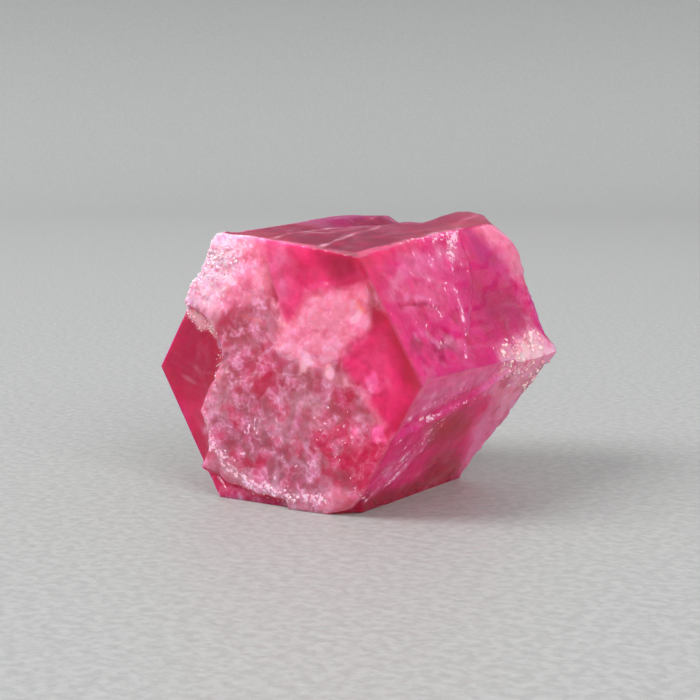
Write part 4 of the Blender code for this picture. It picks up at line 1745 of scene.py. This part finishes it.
@dataclass(frozen=True)
class GrainZone:
    """Where grains sit: along a path, or inside an outline, on one side of the crystal."""

    side: Side
    points: tuple[Pair, ...]
    count: int
    reach: float
    smallest: float
    largest: float
    filled: bool = False

    def weight(self, a: Array, b: Array) -> Array:
        """How likely a grain is at each point: even inside an outline, fading away from a path.

        Args:
            a: first coordinates on the side.
            b: second coordinates on the side.

        Returns:
            A weight from 0 to 1 for each point.
        """
        if self.filled:
            return 1.0 - smooth(-self.reach, self.reach, outline_distance(self.points, a, b))
        return np.exp(-((path_distance(self.points, a, b) / self.reach) ** 2))


@dataclass(frozen=True)
class GrainFinish:
    """Small crystals on the surface: pale, glossy, a little see-through, each facet catching the light."""

    name: str
    colour: Triple
    stain: Triple
    rough: float
    clear: float
    gloss: float
    ior: float = 1.55
    clear_tint: Triple = (1.0, 0.9, 0.94)

    def material(self) -> bpy.types.Material:
        """A pale body with stains of the crystal's own pink, mixed with a clear shader.

        Returns:
            The material.
        """
        tree = Tree(self.name)
        place = tree.place()
        stain = tree.noise(place, 0.35, 4.0).ramped(0.4, 0.65)
        colour = tree.mix(stain, linear(self.colour), linear(self.stain))
        uneven = tree.noise(place, 0.08, 2.0)
        relief = tree.bump(uneven, 0.01, 0.3)
        rough = uneven * 0.15 + self.rough
        shared = {"Roughness": rough, "IOR": self.ior, "Specular IOR Level": self.gloss, "Normal": relief}
        body = tree.shader("BsdfPrincipled", {"Base Color": colour, **shared})
        glass = {"Base Color": linear(self.clear_tint), "Transmission Weight": 1.0, **shared}
        parts = {0: self.clear, 1: body, 2: tree.shader("BsdfPrincipled", glass)}
        return tree.finished(tree.shader("MixShader", parts))


@dataclass
class Grains:
    """Hundreds of small convex grains of one kind, joined in one mesh and half sunk in the surface."""

    name: str
    finish: GrainFinish
    zones: tuple[GrainZone, ...]
    form: CrystalForm
    frame: Frame
    seed: int
    sink: float = 0.55

    @staticmethod
    def chip() -> tuple[Array, Array]:
        """A cube with its corners at radius 1, as eight corners and twelve outward triangles.

        Returns:
            The corners, shape (8, 3), and the triangles, shape (12, 3).
        """
        x, y, z = np.meshgrid((-1.0, 1.0), (-1.0, 1.0), (-1.0, 1.0), indexing="ij")
        corners = np.stack([x, y, z], axis=-1).reshape(-1, 3) / math.sqrt(3.0)
        quads = [(0, 1, 3, 2), (4, 6, 7, 5), (0, 4, 5, 1), (2, 3, 7, 6), (0, 2, 6, 4), (1, 5, 7, 3)]
        halves = [half for a, b, c, d in quads for half in ((a, b, c), (a, c, d))]
        return corners, np.array(halves)

    def seats(self, paint: Paint, draw: np.random.Generator) -> tuple[Array, Array]:
        """Where the grains sit: points of the surface, drawn by each zone's weights.

        Args:
            paint: gives each side's points.
            draw: the random draws.

        Returns:
            The grains' centres and their sizes.
        """
        centres, sizes = [], []
        for zone in self.zones:
            mask, a, b = paint.where(zone.side)
            weight = zone.weight(a, b)
            spread = paint.cell_area()[mask] * weight
            chosen = draw.choice(spread.size, zone.count, p=spread / spread.sum())
            centres.append(paint.shape.points[mask][chosen])
            share = draw.random(zone.count) ** 2.0
            sizes.append(zone.smallest + share * (zone.largest - zone.smallest))
        return np.concatenate(centres), np.concatenate(sizes)

    def build(self, paint: Paint) -> bpy.types.Object:
        """Turns, stretches and places each grain: centre + turn x (stretch x corner x size).

        Args:
            paint: the crystal's surface with its sides.

        Returns:
            The piece.
        """
        draw = np.random.default_rng(self.seed)
        centres, sizes = self.seats(paint, draw)
        corners, faces = self.chip()
        count = len(centres)
        stretch = draw.uniform(0.6, 1.25, (count, 1, 3))
        uneven = draw.uniform(0.7, 1.25, (count, len(corners), 1))
        turns, _ = np.linalg.qr(draw.normal(size=(count, 3, 3)))
        turns *= np.sign(np.linalg.det(turns))[:, None, None]
        shapes = corners[None] * stretch * uneven * sizes[:, None, None]
        points = np.einsum("nij,nkj->nki", turns, shapes)
        inward = self.form.middle - centres
        inward /= np.linalg.norm(inward, axis=1, keepdims=True)
        points += (centres + self.sink * sizes[:, None] * inward)[:, None]
        points[..., 2] = np.maximum(points[..., 2], self.form.least_lift)
        index = faces[None] + len(corners) * np.arange(count)[:, None, None]
        whole = self.frame.place(points.reshape(-1, 3))
        piece = put_mesh(self.name, whole, index.ravel(), np.full(count * len(faces), 3))
        return join_model(piece, self.finish.material())


def sugar_zones() -> tuple[GrainZone, ...]:
    """Clear grains: the near corner, the crust's rims, the head of the cross fracture.

    Returns:
        The zones in the order in which their grains are drawn.
    """
    near, right, low = Side.NEAR, Side.UPPER_RIGHT, Side.LOWER_RIGHT
    corner = ((-2.2, 7.2), (-1.3, 7.2), (-1.4, 6.4), (-1.9, 5.6), (-2.6, 5.2), (-3.3, 5.0), (-3.4, 5.8))
    return (
        GrainZone(near, corner, 110, 0.15, 0.02, 0.09, filled=True),
        GrainZone(near, ((-3.1, 5.3), (-2.75, 5.8), (-2.2, 6.5)), 70, 0.13, 0.03, 0.11),
        GrainZone(near, ((-2.2, 6.1), (-1.9, 6.4)), 30, 0.16, 0.03, 0.1),
        GrainZone(
            near, ((-2.3, 1.6), (-1.5, 0.6), (-0.9, 0.4), (0.0, 0.35), (1.0, 0.3)), 110, 0.16, 0.02, 0.06,
        ),
        GrainZone(near, ((-2.05, 4.2), (-2.15, 3.2), (-2.5, 2.3), (-2.3, 1.5)), 60, 0.08, 0.02, 0.05),
        GrainZone(near, ((1.0, 2.4), (2.4, 1.2)), 40, 0.5, 0.02, 0.05),
        GrainZone(right, ((-1.2, 0.1), (0.9, 0.05), (0.3, 0.5)), 60, 0.14, 0.02, 0.05),
        GrainZone(right, ((0.5, 0.4), (-0.1, 0.94), (-0.3, 1.5), (-0.8, 2.7)), 40, 0.09, 0.015, 0.04),
        GrainZone(low, ((-2.8, 0.95), (-1.6, 0.8), (-0.6, 0.6)), 30, 0.16, 0.015, 0.04),
        GrainZone(low, ((-2.0, 1.8), (-2.9, 2.5), (-3.8, 3.3)), 40, 0.25, 0.015, 0.04),
    )


def matrix_zones() -> tuple[GrainZone, ...]:
    """Cream crumbs of matrix: a patch over the left pane, a ridge at the far end of the right edge.

    Returns:
        The zones in the order in which their grains are drawn.
    """
    near, right, low, far = Side.NEAR, Side.UPPER_RIGHT, Side.LOWER_RIGHT, Side.FAR
    return (
        GrainZone(near, ((-3.1, 4.85), (-2.7, 4.66), (-2.25, 4.45)), 110, 0.13, 0.02, 0.06),
        GrainZone(right, ((0.5, 3.9), (1.3, 3.8), (2.4, 3.5)), 130, 0.22, 0.03, 0.12),
        GrainZone(low, ((0.7, 0.1), (1.6, 0.3), (2.4, 0.6)), 130, 0.35, 0.03, 0.12),
        GrainZone(far, ((3.2, 2.2), (3.9, 3.4)), 120, 0.35, 0.03, 0.13),
    )


# ---------------------------------------------------------------- the studio


@dataclass
class Studio:
    """A pale floor that curves up far behind, a soft lamp high on the left, a pale sky and the camera."""

    flat_radius: float = 0.16
    bowl_radius: float = 0.34
    bowl_height: float = 0.12
    rings: int = 60
    spokes: int = 96
    lens: float = 82.2857
    camera_place: Triple = (0.023392, -0.037078, 0.009498)
    camera_azimuth: float = 32.851
    camera_pitch: float = 7.584
    aim_height: float = 0.0035
    sky: float = 0.80

    def floor(self) -> bpy.types.Object:
        """A round sheet of pale card: flat in the middle, rising as the square of the distance beyond.

        The grid's rows are rings, whose radius grows evenly, and its columns are spokes.

        Returns:
            The floor.
        """
        radius = np.linspace(0.0, self.bowl_radius, self.rings + 1)[1:]
        turn = np.linspace(0.0, 2.0 * np.pi, self.spokes, endpoint=False)
        past = np.clip((radius - self.flat_radius) / (self.bowl_radius - self.flat_radius), 0.0, 1.0)
        ring, spoke = np.meshgrid(radius, turn, indexing="ij")
        height = np.broadcast_to((self.bowl_height * past**2)[:, None], ring.shape)
        points = np.stack([ring * np.cos(spoke), ring * np.sin(spoke), height], axis=-1).reshape(-1, 3)
        points = np.concatenate([points, np.zeros((1, 3))])
        piece = put_mesh("floor", points, *closed_grid(self.rings, self.spokes, 1))
        piece.data.shade_smooth()
        piece.data.materials.append(self.card())
        return piece

    @staticmethod
    def card() -> bpy.types.Material:
        """Pale grey card with a fine tooth, and painted shade that makes it a little darker where it rises
        far behind.

        Returns:
            The material.
        """
        tree = Tree("pale_card")
        place = tree.place()
        tooth = tree.noise(place, 0.35, 5.0)
        speckle = tree.noise(place, 0.25, 3.0).ramped(0.35, 0.65)
        card = tree.mix(speckle, linear((0.57, 0.575, 0.57)), linear((0.61, 0.615, 0.61)))
        height = Value(tree, tree.node("ShaderNodeSeparateXYZ", {}, {0: place}).outputs["Z"])
        # Painted shade: the card darkens where it rises far behind.
        shade = tree.mix(height.ramped(0.0, 0.07) * 0.8, card, linear((0.42, 0.43, 0.425)))
        inputs = {"Base Color": shade, "Roughness": 0.5, "Normal": tree.bump(tooth, 0.08, 0.5)}
        return tree.finished(tree.shader("BsdfPrincipled", inputs))

    def lamp(self, name: str, place: Triple, size: float, power: float) -> None:
        """A square soft lamp that points at the crystal's middle.

        Args:
            name: its name.
            place: where it hangs, in metres.
            size: its side.
            power: its power in watts.
        """
        light = bpy.data.lights.new(name, "AREA")
        light.size = size
        light.energy = power
        lamp = bpy.data.objects.new(name, light)
        bpy.context.scene.collection.objects.link(lamp)
        lamp.location = place
        run, height = math.hypot(place[0], place[1]), place[2] - self.aim_height
        lamp.rotation_euler = (math.atan2(run, height), 0.0, math.atan2(place[1], place[0]) + math.pi / 2)

    def sky_light(self) -> None:
        """An even pale sky."""
        world = bpy.data.worlds.new("studio")
        world.use_nodes = True
        background = world.node_tree.nodes["Background"]
        background.inputs["Color"].default_value = (self.sky, self.sky, self.sky * 1.01, 1.0)
        bpy.context.scene.world = world

    def camera(self) -> None:
        """The camera, level, looking a little down."""
        data = bpy.data.cameras.new("camera")
        data.lens = self.lens
        data.sensor_width = 36.0
        data.clip_start = 0.001
        camera = bpy.data.objects.new("camera", data)
        bpy.context.scene.collection.objects.link(camera)
        camera.location = self.camera_place
        tilt = math.radians(90.0 - self.camera_pitch)
        camera.rotation_euler = (tilt, 0.0, math.radians(self.camera_azimuth))
        bpy.context.scene.camera = camera

    def build(self) -> None:
        """Everything round the crystal."""
        self.camera()
        self.floor()
        self.lamp("soft_key", (-0.24, -0.22, 0.34), size=0.24, power=2.2)
        self.lamp("soft_fill", (0.34, -0.2, 0.24), size=0.24, power=1.5)
        self.sky_light()
        bpy.context.scene.view_settings.view_transform = "Standard"


# ---------------------------------------------------------------- putting it together


def main() -> None:
    """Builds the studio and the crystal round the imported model."""
    logging.basicConfig(level=logging.INFO, format="%(name)s: %(message)s")
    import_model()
    frame = Frame()
    form = CrystalForm()
    Studio().build()
    crystal = Crystal(form, frame)
    shape = form.surface()
    paint = crystal.paint(shape)
    pieces = [crystal.build(shape, paint)]
    sugar = GrainFinish(
        "sugar_crystals", colour=(1.0, 0.86, 0.91), stain=(1.0, 0.66, 0.78),
        rough=0.04, clear=0.12, gloss=0.9,
    )
    cream = GrainFinish(
        "cream_matrix", colour=(0.98, 0.82, 0.82), stain=(0.96, 0.62, 0.71),
        rough=0.5, clear=0.0, gloss=0.2,
    )
    pieces.append(Grains("sugar_grains", sugar, sugar_zones(), form, frame, seed=11).build(paint))
    pieces.append(Grains("matrix_crumbs", cream, matrix_zones(), form, frame, seed=12).build(paint))
    for piece in pieces:
        LOG.info("%s: %d faces", piece.name, len(piece.data.polygons))


if __name__ == "__main__":
    main()
